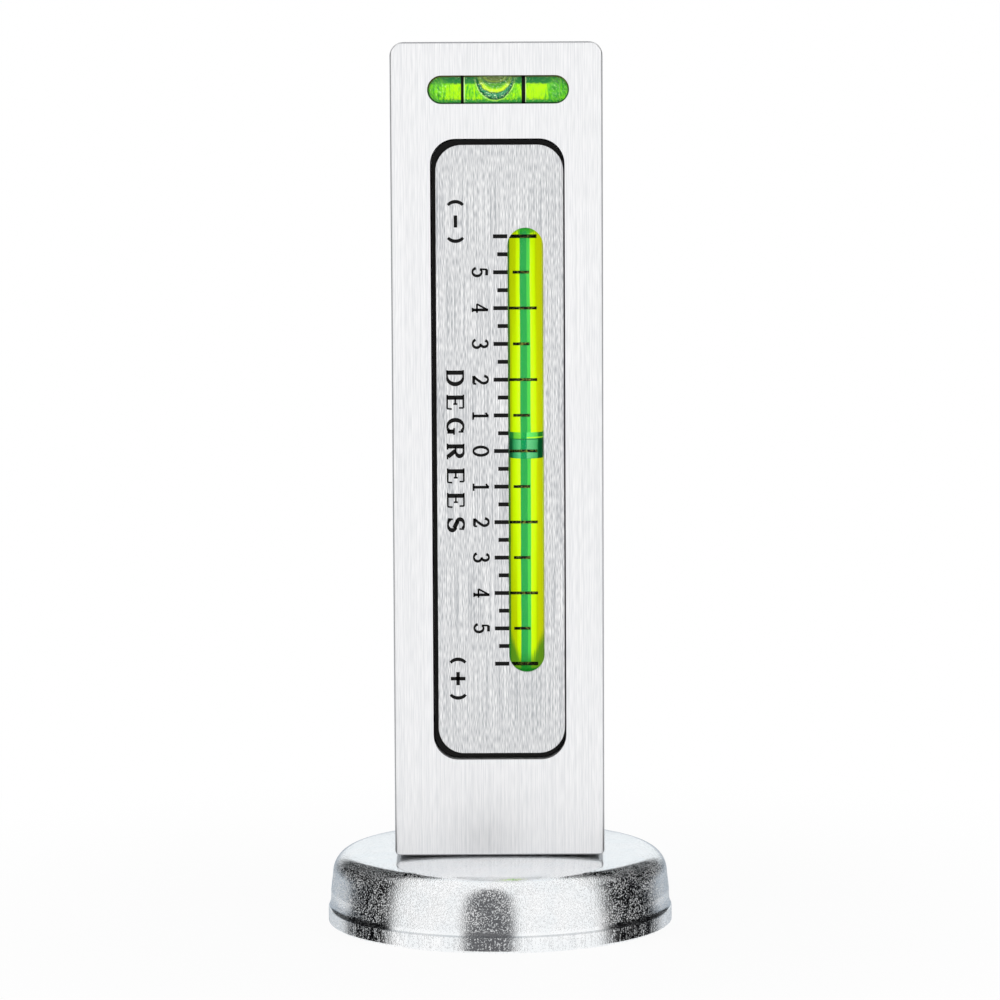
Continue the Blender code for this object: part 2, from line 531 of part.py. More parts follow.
def build_base(cup_material, magnet_material, potting_material, pole_material):
    """Model the pressed cup and, inside it, the ring magnet, its potting and the pole core."""
    skirt = CUP_SKIRT_TOP_RADIUS + CUP_SKIRT_LEAN
    crease = CUP_RIM_HEIGHT + CUP_CREASE
    flare = []
    for step in range(CORNER_STEPS // 2 + 1):
        share = 2 * step / CORNER_STEPS
        drop = share * (CUP_FLARE_HEIGHT - crease)
        flare.append((skirt + CUP_FLARE_REACH * share**2, CUP_FLARE_HEIGHT - drop))
    rim = [
        (skirt + CUP_FLARE_REACH - CUP_RIM_STEP, crease - CUP_CREASE / 2),
        (CUP_RIM_RADIUS, CUP_RIM_HEIGHT),
        (CUP_RIM_RADIUS, CUP_RIM_CHAMFER),
        (CUP_RIM_RADIUS - CUP_RIM_CHAMFER, 0),
        (CUP_BORE_RADIUS + CUP_RIM_CHAMFER, 0),
        (CUP_BORE_RADIUS, CUP_RIM_CHAMFER),
    ]
    shell = cup_crown(0) + flare + rim + list(reversed(cup_crown(CUP_WALL)))
    piece("base_cup", turned(shell, CUP_SIDES), cup_material)

    magnet = [
        (MAGNET_INNER_RADIUS, MAGNET_RECESS + MAGNET_CHAMFER),
        (MAGNET_INNER_RADIUS + MAGNET_CHAMFER, MAGNET_RECESS),
        (MAGNET_OUTER_RADIUS - MAGNET_CHAMFER, MAGNET_RECESS),
        (MAGNET_OUTER_RADIUS, MAGNET_RECESS + MAGNET_CHAMFER),
        (MAGNET_OUTER_RADIUS, MAGNET_TOP),
        (MAGNET_INNER_RADIUS, MAGNET_TOP),
    ]
    piece("ring_magnet", turned(magnet, RING_SIDES), magnet_material)

    potting_top = CUP_SHOULDER_HEIGHT
    rings = (
        ("potting_ring_outer", MAGNET_OUTER_RADIUS + SEAT_GAP),
        ("potting_ring_inner", POLE_RADIUS + SEAT_GAP),
    )
    for name, inner_radius in rings:
        ring = [
            (inner_radius, POTTING_RECESS),
            (inner_radius + POTTING_WIDTH, POTTING_RECESS),
            (inner_radius + POTTING_WIDTH, potting_top),
            (inner_radius, potting_top),
        ]
        piece(name, turned(ring, RING_SIDES), potting_material)

    sink_radius = SCREW_HEAD_RADIUS + SEAT_GAP * sqrt(2) + SCREW_CONE_FOOT - POLE_RECESS
    sink_top = POLE_RECESS + sink_radius - CUP_HOLE_RADIUS
    pole = [
        (CUP_HOLE_RADIUS, sink_top),
        (sink_radius, POLE_RECESS),
        (POLE_RADIUS - POLE_CHAMFER, POLE_RECESS),
        (POLE_RADIUS, POLE_RECESS + POLE_CHAMFER),
        (POLE_RADIUS, POLE_TOP),
        (CUP_HOLE_RADIUS, POLE_TOP),
    ]
    piece("pole_core", turned(pole, POLE_SIDES), pole_material)


def build_screw(material):
    """Model the countersunk screw that holds the cup and pole core to the bar."""
    cone_height = SCREW_HEAD_RADIUS - SCREW_RADIUS
    profile = [
        (0, SCREW_FOOT),
        (SCREW_HEAD_RADIUS, SCREW_FOOT),
        (SCREW_HEAD_RADIUS, SCREW_CONE_FOOT),
        (SCREW_RADIUS, SCREW_CONE_FOOT + cone_height),
        (SCREW_RADIUS, SCREW_TIP - SCREW_TIP_CHAMFER),
        (SCREW_RADIUS - SCREW_TIP_CHAMFER, SCREW_TIP),
        (0, SCREW_TIP),
    ]
    screw = piece("base_screw", turned(profile, SCREW_SIDES), material)
    corner = SCREW_SOCKET_FLATS / 2 / cos(radians(30))
    hexagon = [(corner * cos(radians(60 * side)), corner * sin(radians(60 * side))) for side in range(6)]
    socket = swept(hexagon, (SCREW_FOOT - CUT_OVERRUN, SCREW_FOOT + SCREW_SOCKET_DEPTH))
    cut(screw, "screw_socket_cut", socket)


def main():
    """Clear the scene and build the gauge from its pieces."""
    for old in list(bpy.data.objects):
        bpy.data.objects.remove(old)
    aluminium = finish_material("brushed_aluminium", (0.80, 0.80, 0.82), 0.35, metallic=1.0)
    plate = finish_material("scale_plate_metal", (0.70, 0.70, 0.72), 0.40, metallic=1.0)
    film = finish_material("adhesive_film", (0.85, 0.85, 0.80), 0.60)
    black = finish_material("black_plastic", (0.02, 0.02, 0.02), 0.50)
    white = finish_material("white_plastic", (0.90, 0.90, 0.88), 0.45)
    clear = finish_material("clear_acrylic", (0.95, 1.00, 0.92), 0.05, alpha=0.35)
    plug = finish_material("vial_plug_plastic", (0.55, 0.75, 0.10), 0.45)
    fluid = finish_material("yellow_green_fluid", (0.55, 0.85, 0.02), 0.05, alpha=0.6)
    air = finish_material("bubble_air", (0.75, 0.95, 0.60), 0.05, alpha=0.4)
    steel = finish_material("plated_steel", (0.75, 0.76, 0.78), 0.25, metallic=1.0)
    ferrite = finish_material("ferrite", (0.06, 0.06, 0.07), 0.60)
    resin = finish_material("potting_resin", (0.03, 0.03, 0.03), 0.35)

    build_bar(aluminium)
    build_plate(plate, film)
    build_carrier(black, white)
    build_camber_vial(clear, plug, fluid, air)
    build_cross_vial(clear, plug, fluid, air, white)
    build_base(steel, ferrite, resin, steel)
    build_screw(steel)


main()
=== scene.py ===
"""Camber gauge: a brushed aluminium bar with an arched degree vial and a cross vial, on a magnetic base.

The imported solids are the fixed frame. Each visible piece is either such a solid with its finish or a finer
mesh in the same place. Units are metres. The scale faces -Y, +Z runs up the bar and +X is to its reader's
right.
"""

import json
import logging
from collections.abc import Iterable, Mapping, Sequence
from dataclasses import dataclass
from enum import Enum
from itertools import pairwise
from math import asin, cos, degrees, pi, radians, sin, sqrt, tan
from typing import ClassVar

import bmesh
import bpy
from mathutils import Matrix, Vector


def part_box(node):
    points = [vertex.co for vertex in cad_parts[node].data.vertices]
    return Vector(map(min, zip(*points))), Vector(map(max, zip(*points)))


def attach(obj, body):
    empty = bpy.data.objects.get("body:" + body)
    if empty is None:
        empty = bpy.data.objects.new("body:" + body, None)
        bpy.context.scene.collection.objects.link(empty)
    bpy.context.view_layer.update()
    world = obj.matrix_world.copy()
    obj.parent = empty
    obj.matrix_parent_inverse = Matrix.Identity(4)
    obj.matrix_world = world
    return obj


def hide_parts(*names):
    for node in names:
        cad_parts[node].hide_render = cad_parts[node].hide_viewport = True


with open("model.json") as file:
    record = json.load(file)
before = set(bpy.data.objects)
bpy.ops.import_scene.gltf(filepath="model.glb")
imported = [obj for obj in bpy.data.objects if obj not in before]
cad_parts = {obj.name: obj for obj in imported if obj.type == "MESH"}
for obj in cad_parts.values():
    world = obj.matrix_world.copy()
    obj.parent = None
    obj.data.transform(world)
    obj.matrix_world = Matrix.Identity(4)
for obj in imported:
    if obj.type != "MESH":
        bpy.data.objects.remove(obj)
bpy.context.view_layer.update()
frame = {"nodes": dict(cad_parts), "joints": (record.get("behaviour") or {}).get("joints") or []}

LOG = logging.getLogger("camber_gauge")
WELD_DISTANCE = 1e-7
CREASE_ANGLE = 32.0
CORNER_STEPS = 14
EDGE_STEPS = 5
CUT_OVERRUN = 0.001

Point = tuple[float, float]
Triple = tuple[float, float, float]
Outline = list[Point]
Ring = list[Vector]
Shape = bmesh.types.BMesh
Colour = tuple[float, float, float, float]
Stops = Sequence[tuple[float, Colour]]

PURE_WHITE: Colour = (1.0, 1.0, 1.0, 1.0)
PURE_BLACK: Colour = (0.0, 0.0, 0.0, 1.0)


class Body(Enum):
    """The bodies that the pieces ride on."""

    HOUSING = "housing"
    CAMBER_BUBBLE = "camber_bubble_air"
    CROSS_BUBBLE = "cross_bubble_air"


class Slot(Enum):
    """The record's material slots."""

    ALUMINIUM = "brushed_aluminium"
    SCALE_METAL = "scale_plate_metal"
    FILM = "adhesive_film"
    BLACK = "black_plastic"
    WHITE = "white_plastic"
    CLEAR = "clear_acrylic"
    PLUG = "vial_plug_plastic"
    FLUID = "yellow_green_fluid"
    AIR = "bubble_air"
    STEEL = "plated_steel"
    FERRITE = "ferrite"
    RESIN = "potting_resin"


def tint(red: int, green: int, blue: int) -> Colour:
    """Turn a display colour into a linear one.

    Args:
        red: Its red, 0 to 255.
        green: Its green, 0 to 255.
        blue: Its blue, 0 to 255.

    Returns:
        The linear colour, opaque.
    """
    shares = [channel / 255 for channel in (red, green, blue)]
    linear = [share / 12.92 if share <= 0.04045 else ((share + 0.055) / 1.055) ** 2.4 for share in shares]
    return (*linear, 1.0)


def stops(*rows: tuple[float, int, int, int]) -> Stops:
    """List a ramp's stops from their shares and display colours."""
    return [(share, tint(*channels)) for share, *channels in rows]


class Socket:
    """A node's output in an expression; arithmetic on it adds Math nodes."""

    def __init__(self, graph: "Graph", link: bpy.types.NodeSocket) -> None:
        """Wrap an output of a graph's node."""
        self.graph = graph
        self.link = link

    def _math(self, operation: str, first: "Value", second: "Value" = 0.0) -> "Socket":
        """Add a Math node on two values."""
        node = self.graph.add("ShaderNodeMath", {"operation": operation}, {0: first, 1: second})
        return Socket(self.graph, node.outputs[0])

    def __add__(self, other: "Value") -> "Socket":
        """Add."""
        return self._math("ADD", self, other)

    __radd__ = __add__

    def __sub__(self, other: "Value") -> "Socket":
        """Subtract."""
        return self._math("SUBTRACT", self, other)

    def __rsub__(self, other: "Value") -> "Socket":
        """Subtract from a number."""
        return self._math("SUBTRACT", other, self)

    def __mul__(self, other: "Value") -> "Socket":
        """Multiply."""
        return self._math("MULTIPLY", self, other)

    __rmul__ = __mul__

    def __truediv__(self, other: "Value") -> "Socket":
        """Divide."""
        return self._math("DIVIDE", self, other)

    def __pow__(self, other: "Value") -> "Socket":
        """Raise to a power."""
        return self._math("POWER", self, other)

    def __abs__(self) -> "Socket":
        """Take the size without the sign."""
        return self._math("ABSOLUTE", self)

    def larger(self, other: "Value") -> "Socket":
        """Take the larger of two values."""
        return self._math("MAXIMUM", self, other)

    def smaller(self, other: "Value") -> "Socket":
        """Take the smaller of two values."""
        return self._math("MINIMUM", self, other)

    def turn_about(self, other: "Value") -> "Socket":
        """Give the angle whose sine and cosine are in the ratio of this value to another."""
        return self._math("ARCTAN2", self, other)

    def arcsine(self) -> "Socket":
        """Give the angle that this value is the sine of."""
        return self._math("ARCSINE", self)

    def rise(self, low: float, high: float) -> "Socket":
        """Rise smoothly from 0 to 1 between two values; fall where the first is the larger.

        Args:
            low: The value that gives 0.
            high: The value that gives 1.

        Returns:
            The share, 0 to 1.
        """
        ends = (low, high, 0.0, 1.0) if low < high else (high, low, 1.0, 0.0)
        inputs = {0: self, **dict(enumerate(ends, 1))}
        node = self.graph.add("ShaderNodeMapRange", {"interpolation_type": "SMOOTHSTEP"}, inputs)
        return Socket(self.graph, node.outputs[0])


Value = Socket | float


class Graph:
    """A material's or a world's node tree."""

    def __init__(self, tree: bpy.types.NodeTree) -> None:
        """Start a tree afresh."""
        self.tree = tree
        self.tree.nodes.clear()

    def add(
        self, kind: str, settings: Mapping[str, object], inputs: Mapping[str | int, object]
    ) -> bpy.types.Node:
        """Add a node.

        Args:
            kind: The node's type.
            settings: The node's own settings; stops are a ramp's (share, colour) pairs.
            inputs: The values or links of its sockets, by name or number.

        Returns:
            The node.
        """
        node = self.tree.nodes.new(kind)
        for name, setting in settings.items():
            if name == "stops":
                self._set_stops(node.color_ramp, setting)
            else:
                setattr(node, name, setting)
        for name, value in inputs.items():
            if isinstance(value, Socket):
                self.tree.links.new(value.link, node.inputs[name])
            else:
                node.inputs[name].default_value = value
        return node

    @staticmethod
    def _set_stops(ramp: bpy.types.ColorRamp, wanted: Stops) -> None:
        """Give a ramp its stops.

        Args:
            ramp: The ramp.
            wanted: Its stops, in rising order.
        """
        while len(ramp.elements) < len(wanted):
            ramp.elements.new(1.0)
        for element, (share, colour) in zip(ramp.elements, wanted):
            element.position = share
            element.color = colour

    def place(self) -> Socket:
        """Give the place on the piece, in its own metres."""
        return Socket(self, self.add("ShaderNodeTexCoord", {}, {}).outputs["Object"])

    def parts(self, vector: Socket) -> tuple[Socket, Socket, Socket]:
        """Take a vector apart into its three values."""
        node = self.add("ShaderNodeSeparateXYZ", {}, {0: vector})
        return tuple(Socket(self, output) for output in node.outputs)

    def joined(self, across: Value, deep: Value, up: Value) -> Socket:
        """Join three values into a vector."""
        return Socket(self, self.add("ShaderNodeCombineXYZ", {}, {0: across, 1: deep, 2: up}).outputs[0])

    def scaled(self, vector: Socket, scale: Triple) -> Socket:
        """Multiply a vector by another, part by part."""
        node = self.add("ShaderNodeVectorMath", {"operation": "MULTIPLY"}, {0: vector, 1: scale})
        return Socket(self, node.outputs[0])

    def noise(self, vector: Socket, detail: float = 2.0, roughness: float = 0.5) -> Socket:
        """Give noise whose grains are about one unit of the vector across."""
        inputs = {"Vector": vector, "Scale": 1.0, "Detail": detail, "Roughness": roughness}
        return Socket(self, self.add("ShaderNodeTexNoise", {}, inputs).outputs[0])

    def grains(self, vector: Socket) -> Socket:
        """Give cells about one unit across, each with its distance from its middle."""
        return Socket(self, self.add("ShaderNodeTexVoronoi", {}, {"Vector": vector, "Scale": 1.0}).outputs[0])

    def ramp(self, value: Socket, wanted: Stops) -> Socket:
        """Colour a value by a ramp's stops."""
        return Socket(self, self.add("ShaderNodeValToRGB", {"stops": wanted}, {0: value}).outputs[0])

    def mixed(self, share: Value, first: Socket | Colour, second: Socket | Colour) -> Socket:
        """Mix two colours, all of the second at a share of 1."""
        node = self.add("ShaderNodeMix", {"data_type": "RGBA"}, {0: share, 6: first, 7: second})
        return Socket(self, node.outputs[2])

    def bump(self, height: Socket, distance: float) -> Socket:
        """Turn a height, 0 to 1, into a normal for relief of a given depth."""
        inputs = {"Height": height, "Distance": distance, "Strength": 1.0}
        return Socket(self, self.add("ShaderNodeBump", {}, inputs).outputs[0])

    def principled(self, inputs: Mapping[str | int, object]) -> Socket:
        """Add the surface shader."""
        return Socket(self, self.add("ShaderNodeBsdfPrincipled", {}, inputs).outputs[0])

    def surface(self, shader: Socket) -> None:
        """Send a shader to a material's output."""
        self.add("ShaderNodeOutputMaterial", {}, {0: shader})


@dataclass(frozen=True)
class Finish:
    """A finish; all pieces that wear it share its material."""

    name: str

    def shader(self, graph: Graph) -> Socket:
        """Build the finish's shader."""
        raise NotImplementedError

    def material(self) -> bpy.types.Material:
        """Make the finish's material on its first use.

        Returns:
            The material.
        """
        made = bpy.data.materials.get(self.name)
        if made is None:
            made = bpy.data.materials.new(self.name)
            made.use_nodes = True
            graph = Graph(made.node_tree)
            graph.surface(self.shader(graph))
        return made


@dataclass(frozen=True)
class BrushedMetal(Finish):
    """Metal brushed along Z: fine long streaks in tone, roughness and relief, and painted shade along the
    edges.
    """

    light: Colour
    dark: Colour
    roughness: float
    metallic: float
    streak_width: float
    streak_length: float
    relief: float
    low: Vector = Vector((-1, -1, -1))
    high: Vector = Vector((1, 1, 1))
    # Painted shade along the box's outer edges: a painted reflection of darker surroundings on the rounded
    # edges.
    edge_width: float = 0.00028
    edge_core: float = 0.4
    edge_share: float = 0.0
    edge_colour: Colour = tint(118, 118, 123)
    faint_streaks: float = 0.08
    contrast: Point = (0.3, 0.7)
    unevenness: float = 0.25

    def edge(self, graph: Graph, place: Socket) -> Socket:
        """Find the outer edges of the piece's box.

        Args:
            graph: The material's graph.
            place: The place on the piece.

        Returns:
            1 along the edges and 0 a little way in.
        """
        middle, half = (self.low + self.high) / 2, (self.high - self.low) / 2
        across, deep, up = (
            reach - abs(way - centre) for way, centre, reach in zip(graph.parts(place), middle, half)
        )
        second = across.smaller(deep).larger(across.larger(deep).smaller(up))
        return second.rise(self.edge_width, self.edge_width * self.edge_core)

    def shader(self, graph: Graph) -> Socket:
        """Lay fine streaks over long, faint ones, and paint shade along the edges.

        Args:
            graph: The material's graph.

        Returns:
            The shader.
        """
        place = graph.place()
        fineness = 1 / self.streak_width
        fine, faint = (
            graph.noise(graph.scaled(place, (fineness, fineness, share / self.streak_length)), 0.0)
            for share in (1, self.faint_streaks)
        )
        tone = fine * 0.5 + faint * 0.5
        brushed = graph.mixed(tone.rise(*self.contrast), self.dark, self.light)
        # Painted shade along the edges.
        edge = self.edge(graph, place) * self.edge_share
        return graph.principled(
            {
                "Base Color": graph.mixed(edge, brushed, self.edge_colour),
                "Roughness": self.roughness + (tone - 0.5) * self.unevenness,
                "Metallic": self.metallic,
                "Normal": graph.bump(tone, self.relief),
            }
        )


@dataclass(frozen=True)
class PlatedSteel(Finish):
    """Bright zinc plating: dull grains to a given height, a scratched rim, and a clean band with painted
    shade in its crease.
    """

    light: Colour
    dark: Colour
    roughness: float = 0.08
    speckle: float = 0.00019
    cloud_size: float = 16
    relief: float = 0.00005
    dullness: float = 0.62
    grain_top: float = 0.0096
    grain_fade: Point = (0.0009, -0.0012)
    grain_above: float = 0.15
    rim_height: float = 0.0
    rim_radius: float = 0.025
    rim_fade: float = 0.0001
    scratch_width: float = 0.00025
    scratch_pace: float = 300
    clean_share: float = 0.0
    clean_fade: Point = (0.001, 0.0005)
    # Painted shade in the crease between the flare and the rim.
    crease_share: float = 0.0
    crease_fade: Point = (0.0002, 0.00008)
    crease_colour: Colour = tint(84, 86, 90)
    cloudiness: float = 0.25
    pit_levels: Point = (0.555, 0.605)
    score_levels: Point = (0.54, 0.6)
    contrast: Point = (0.3, 0.7)
    unevenness: float = 0.25
    pit_depth: float = 0.7

    def shader(self, graph: Graph) -> Socket:
        """Scatter the dull grains, scratch the rim and paint shade into the crease.

        Args:
            graph: The material's graph.

        Returns:
            The shader.
        """
        place = graph.place()
        grain = graph.noise(graph.scaled(place, (1 / self.speckle,) * 3), 1.0, 0.6)
        cloud = graph.noise(graph.scaled(place, (1 / (self.cloud_size * self.speckle),) * 3), 2.0)
        across, deep, up = graph.parts(place)
        round_rim = across.turn_about(deep) * (self.rim_radius / self.scratch_width)
        scratch = graph.noise(graph.joined(round_rim, up * self.scratch_pace, 0.0), 2.0, 0.7)
        rim = up.rise(self.rim_height + self.rim_fade, self.rim_height - self.rim_fade)
        above = up - self.rim_height
        clean = above.rise(-self.rim_fade, self.rim_fade) * above.rise(*self.clean_fade) * self.clean_share
        low_down = up.rise(*(self.grain_top + fade for fade in self.grain_fade))
        grainy = (self.grain_above + low_down * (1 - self.grain_above)) * (1 - clean)
        pitted = (grain + (cloud - 0.5) * self.cloudiness).rise(*self.pit_levels)
        scored = (scratch * 0.5 + grain * 0.5).rise(*self.score_levels)
        dull = (pitted + (scored - pitted) * rim) * grainy
        # Painted shade: a darker line in the crease just above the rim.
        crease = abs(above - self.rim_fade).rise(*self.crease_fade) * self.crease_share
        plated = graph.mixed(cloud.rise(*self.contrast), self.dark, self.light)
        return graph.principled(
            {
                "Base Color": graph.mixed(crease, plated, self.crease_colour),
                "Roughness": self.roughness + dull * self.unevenness,
                "Metallic": 1.0 - dull * self.dullness,
                "Normal": graph.bump(dull * self.pit_depth + grain * grainy, self.relief),
            }
        )


@dataclass(frozen=True)
class Moulding(Finish):
    """Moulded or cast stuff: a fine leathery skin with a slight mottle."""

    light: Colour
    dark: Colour
    roughness: float = 0.5
    grain: float = 0.0004
    relief: float = 0.00001
    coat: float = 0.0
    gloss: float = 0.5
    mottle_size: float = 5
    contrast: Point = (0.3, 0.7)
    unevenness: float = 0.2

    def shader(self, graph: Graph) -> Socket:
        """Mottle the skin and give it its grain.

        Args:
            graph: The material's graph.

        Returns:
            The shader.
        """
        place = graph.place()
        mottle = graph.noise(graph.scaled(place, (1 / (self.mottle_size * self.grain),) * 3), 3.0)
        skin = graph.grains(graph.scaled(place, (1 / self.grain,) * 3))
        return graph.principled(
            {
                "Base Color": graph.mixed(mottle.rise(*self.contrast), self.dark, self.light),
                "Roughness": self.roughness + (mottle - 0.5) * self.unevenness,
                "Coat Weight": self.coat,
                "Specular IOR Level": self.gloss,
                "Normal": graph.bump(skin, self.relief),
            }
        )


@dataclass(frozen=True)
class ClearWall(Finish):
    """Clear moulded acrylic, with the faint ripple that it cools with."""

    colour: Colour = PURE_WHITE
    ripple: float = 0.0012
    haze: float = 0.06
    bending: float = 1.12
    relief: float = 0.00001

    def shader(self, graph: Graph) -> Socket:
        """Let light through and ripple the skin.

        Args:
            graph: The material's graph.

        Returns:
            The shader.
        """
        ripple = graph.noise(graph.scaled(graph.place(), (1 / self.ripple,) * 3), 2.0)
        return graph.principled(
            {
                "Base Color": self.colour,
                "Roughness": ripple * self.haze,
                "IOR": self.bending,
                "Transmission Weight": 1.0,
                "Normal": graph.bump(ripple, self.relief),
            }
        )


@dataclass(frozen=True)
class PrintedInk(Finish):
    """Black screen-printed ink, slightly uneven."""

    black: Colour = tint(4, 4, 4)
    worn: Colour = tint(16, 16, 15)
    patch: float = 0.00011
    wear: Point = (0.5, 0.75)
    roughness: float = 0.6
    unevenness: float = 0.2
    gloss: float = 0.2

    def shader(self, graph: Graph) -> Socket:
        """Lighten the ink in patches.

        Args:
            graph: The material's graph.

        Returns:
            The shader.
        """
        cover = graph.noise(graph.scaled(graph.place(), (1 / self.patch,) * 3), 2.0)
        return graph.principled(
            {
                "Base Color": graph.mixed(cover.rise(*self.wear), self.black, self.worn),
                "Roughness": self.roughness + cover * self.unevenness,
                "Specular IOR Level": self.gloss,
            }
        )


@dataclass(frozen=True)
class FadingCard(Finish):
    """A studio card's dark paint, sprayed so that it fades out at the sides and the top."""

    colour: Colour
    sides: Point
    leans: Point
    top: float
    side_fade: float = 0.28
    top_fade: float = 0.004
    lean_foot: float = 0.005

    def shader(self, graph: Graph) -> Socket:
        """Fade the paint into clear film.

        Args:
            graph: The material's graph.

        Returns:
            The shader.
        """
        across, deep, up = graph.parts(graph.place())
        turn = across.turn_about(0.0 - deep)
        left, right = self.sides
        fade = (right - left) * self.side_fade
        lean = up.rise(self.lean_foot, self.top)
        from_left, from_right = turn - lean * self.leans[0], turn - lean * self.leans[1]
        cover = from_left.rise(left, left + fade) * from_right.rise(right, right - fade)
        cover = cover * up.rise(self.top, self.top - self.top_fade)
        paint = graph.add("ShaderNodeEmission", {}, {0: self.colour, 1: 1.0})
        film = graph.add("ShaderNodeBsdfTransparent", {}, {})
        inputs = {0: cover, 1: Socket(graph, film.outputs[0]), 2: Socket(graph, paint.outputs[0])}
        return Socket(graph, graph.add("ShaderNodeMixShader", {}, inputs).outputs[0])


@dataclass(frozen=True)
class LitFluid(Finish):
    """Dyed fluid with a painted glow: most of its light is emission that stands in for lamp light, and the
    rest comes off its skin.
    """

    centre: Vector
    radius: float
    # Painted glow: most light is emission standing in for the light that reaches the fluid through the tube;
    # the depth share darkens the base colour to make room for it.
    depth: ClassVar[float] = 0.6
    glow: ClassVar[float] = 0.74
    roughness: ClassVar[float] = 0.3
    unevenness: ClassVar[float] = 0.1
    gloss: ClassVar[float] = 0.15

    def share_across(self, across: Socket) -> Socket:
        """Give how far across the vial a place lies, from 0 at its left to 1 at its right."""
        return (across - self.centre.x) / (2 * self.radius) + 0.5

    def lit(self, graph: Graph, colour: Socket, streak: Socket) -> Socket:
        """Shine in a colour, mostly by painted glow.

        Args:
            graph: The material's graph.
            colour: The colour.
            streak: The unevenness of the skin.

        Returns:
            The shader.
        """
        return graph.principled(
            {
                "Base Color": graph.mixed(self.depth, colour, PURE_BLACK),
                "Roughness": self.roughness + streak * self.unevenness,
                "Specular IOR Level": self.gloss,
                "Emission Color": colour,
                "Emission Strength": self.glow,
            }
        )


@dataclass(frozen=True)
class CamberFluid(LitFluid):
    """Fluid in the bent tube: bright and dark bands of painted refraction run along it, and painted shade
    turns it green at its ends.
    """

    half_length: float
    streaks: ClassVar[Triple] = (6000, 6000, 500)
    blur: ClassVar[float] = 0.015
    waver: ClassVar[float] = 0.04
    waver_pace: ClassVar[float] = 90
    ends_share: ClassVar[Point] = (0.25, 0.8)
    end_curve: ClassVar[float] = 0.003
    end_mottle: ClassVar[float] = 0.002
    end_strength: ClassVar[float] = 0.8
    rim: ClassVar[float] = 0.0004

    def bands(self, graph: Graph, share: Socket, towards_end: Socket) -> Socket:
        """Colour the bands of painted refraction; the lime ones narrow towards the ends.

        Args:
            graph: The material's graph.
            share: The share of the tube's width.
            towards_end: 0 in the middle of the tube and 1 near its ends.

        Returns:
            The colour.
        """
        # Painted refraction: the bands stand in for light bent through the round tube, and the dark green
        # edge at the left is painted shade.
        edge, olive, lime = tint(56, 124, 38), tint(198, 222, 4), tint(212, 255, 6)
        stripe, bright, gold = tint(38, 164, 72), tint(74, 206, 74), tint(214, 228, 10)
        middle = (
            (0.0, edge), (0.035, edge), (0.055, olive), (0.09, olive), (0.115, lime), (0.325, lime),
            (0.345, stripe), (0.53, stripe), (0.545, bright), (0.63, bright), (0.65, lime), (0.79, lime),
            (0.82, gold), (0.97, gold), (1.0, lime),
        )
        ends = (
            (0.0, edge), (0.035, edge), (0.055, olive), (0.22, olive), (0.24, lime), (0.33, lime),
            (0.35, stripe), (0.53, stripe), (0.545, bright), (0.625, bright), (0.645, lime), (0.77, lime),
            (0.8, olive), (0.88, gold), (1.0, gold),
        )
        return graph.mixed(towards_end, graph.ramp(share, middle), graph.ramp(share, ends))

    def shader(self, graph: Graph) -> Socket:
        """Paint the refraction bands, which waver a little, and the green painted shade at the ends.

        Args:
            graph: The material's graph.

        Returns:
            The shader.
        """
        place = graph.place()
        across, _, up = graph.parts(place)
        streak = graph.noise(graph.scaled(place, self.streaks), 2.0)
        waver = graph.noise(graph.joined(0.0, 0.0, up * self.waver_pace), 1.0)
        share = self.share_across(across) + (streak - 0.5) * self.blur + (waver - 0.5) * self.waver
        lift = up - self.centre.z
        by_sides = (abs(share - 0.5) * 2.0).rise(0.3, 1.0) * self.end_curve
        towards_end = abs(lift).rise(*(self.half_length * part for part in self.ends_share))
        colour = self.bands(graph, share, towards_end)
        # Painted shade: the fluid turns green at each end, and the lower end's shade reaches further up at
        # the sides.
        for way, fading, solid, green in (
            (lift, 0.001, 0.0005, tint(48, 168, 44)),
            (0.0 - lift + by_sides, 0.003, 0.0006, tint(34, 138, 36)),
        ):
            mottled = way + (streak - 0.5) * self.end_mottle
            start, full = self.half_length - fading, self.half_length - solid
            colour = graph.mixed(mottled.rise(start, full) * self.end_strength, colour, green)
        # Painted shade: a darker green at the very ends.
        at_rim = abs(lift).rise(self.half_length - self.rim, self.half_length)
        return self.lit(graph, graph.mixed(at_rim, colour, tint(26, 128, 36)), streak)


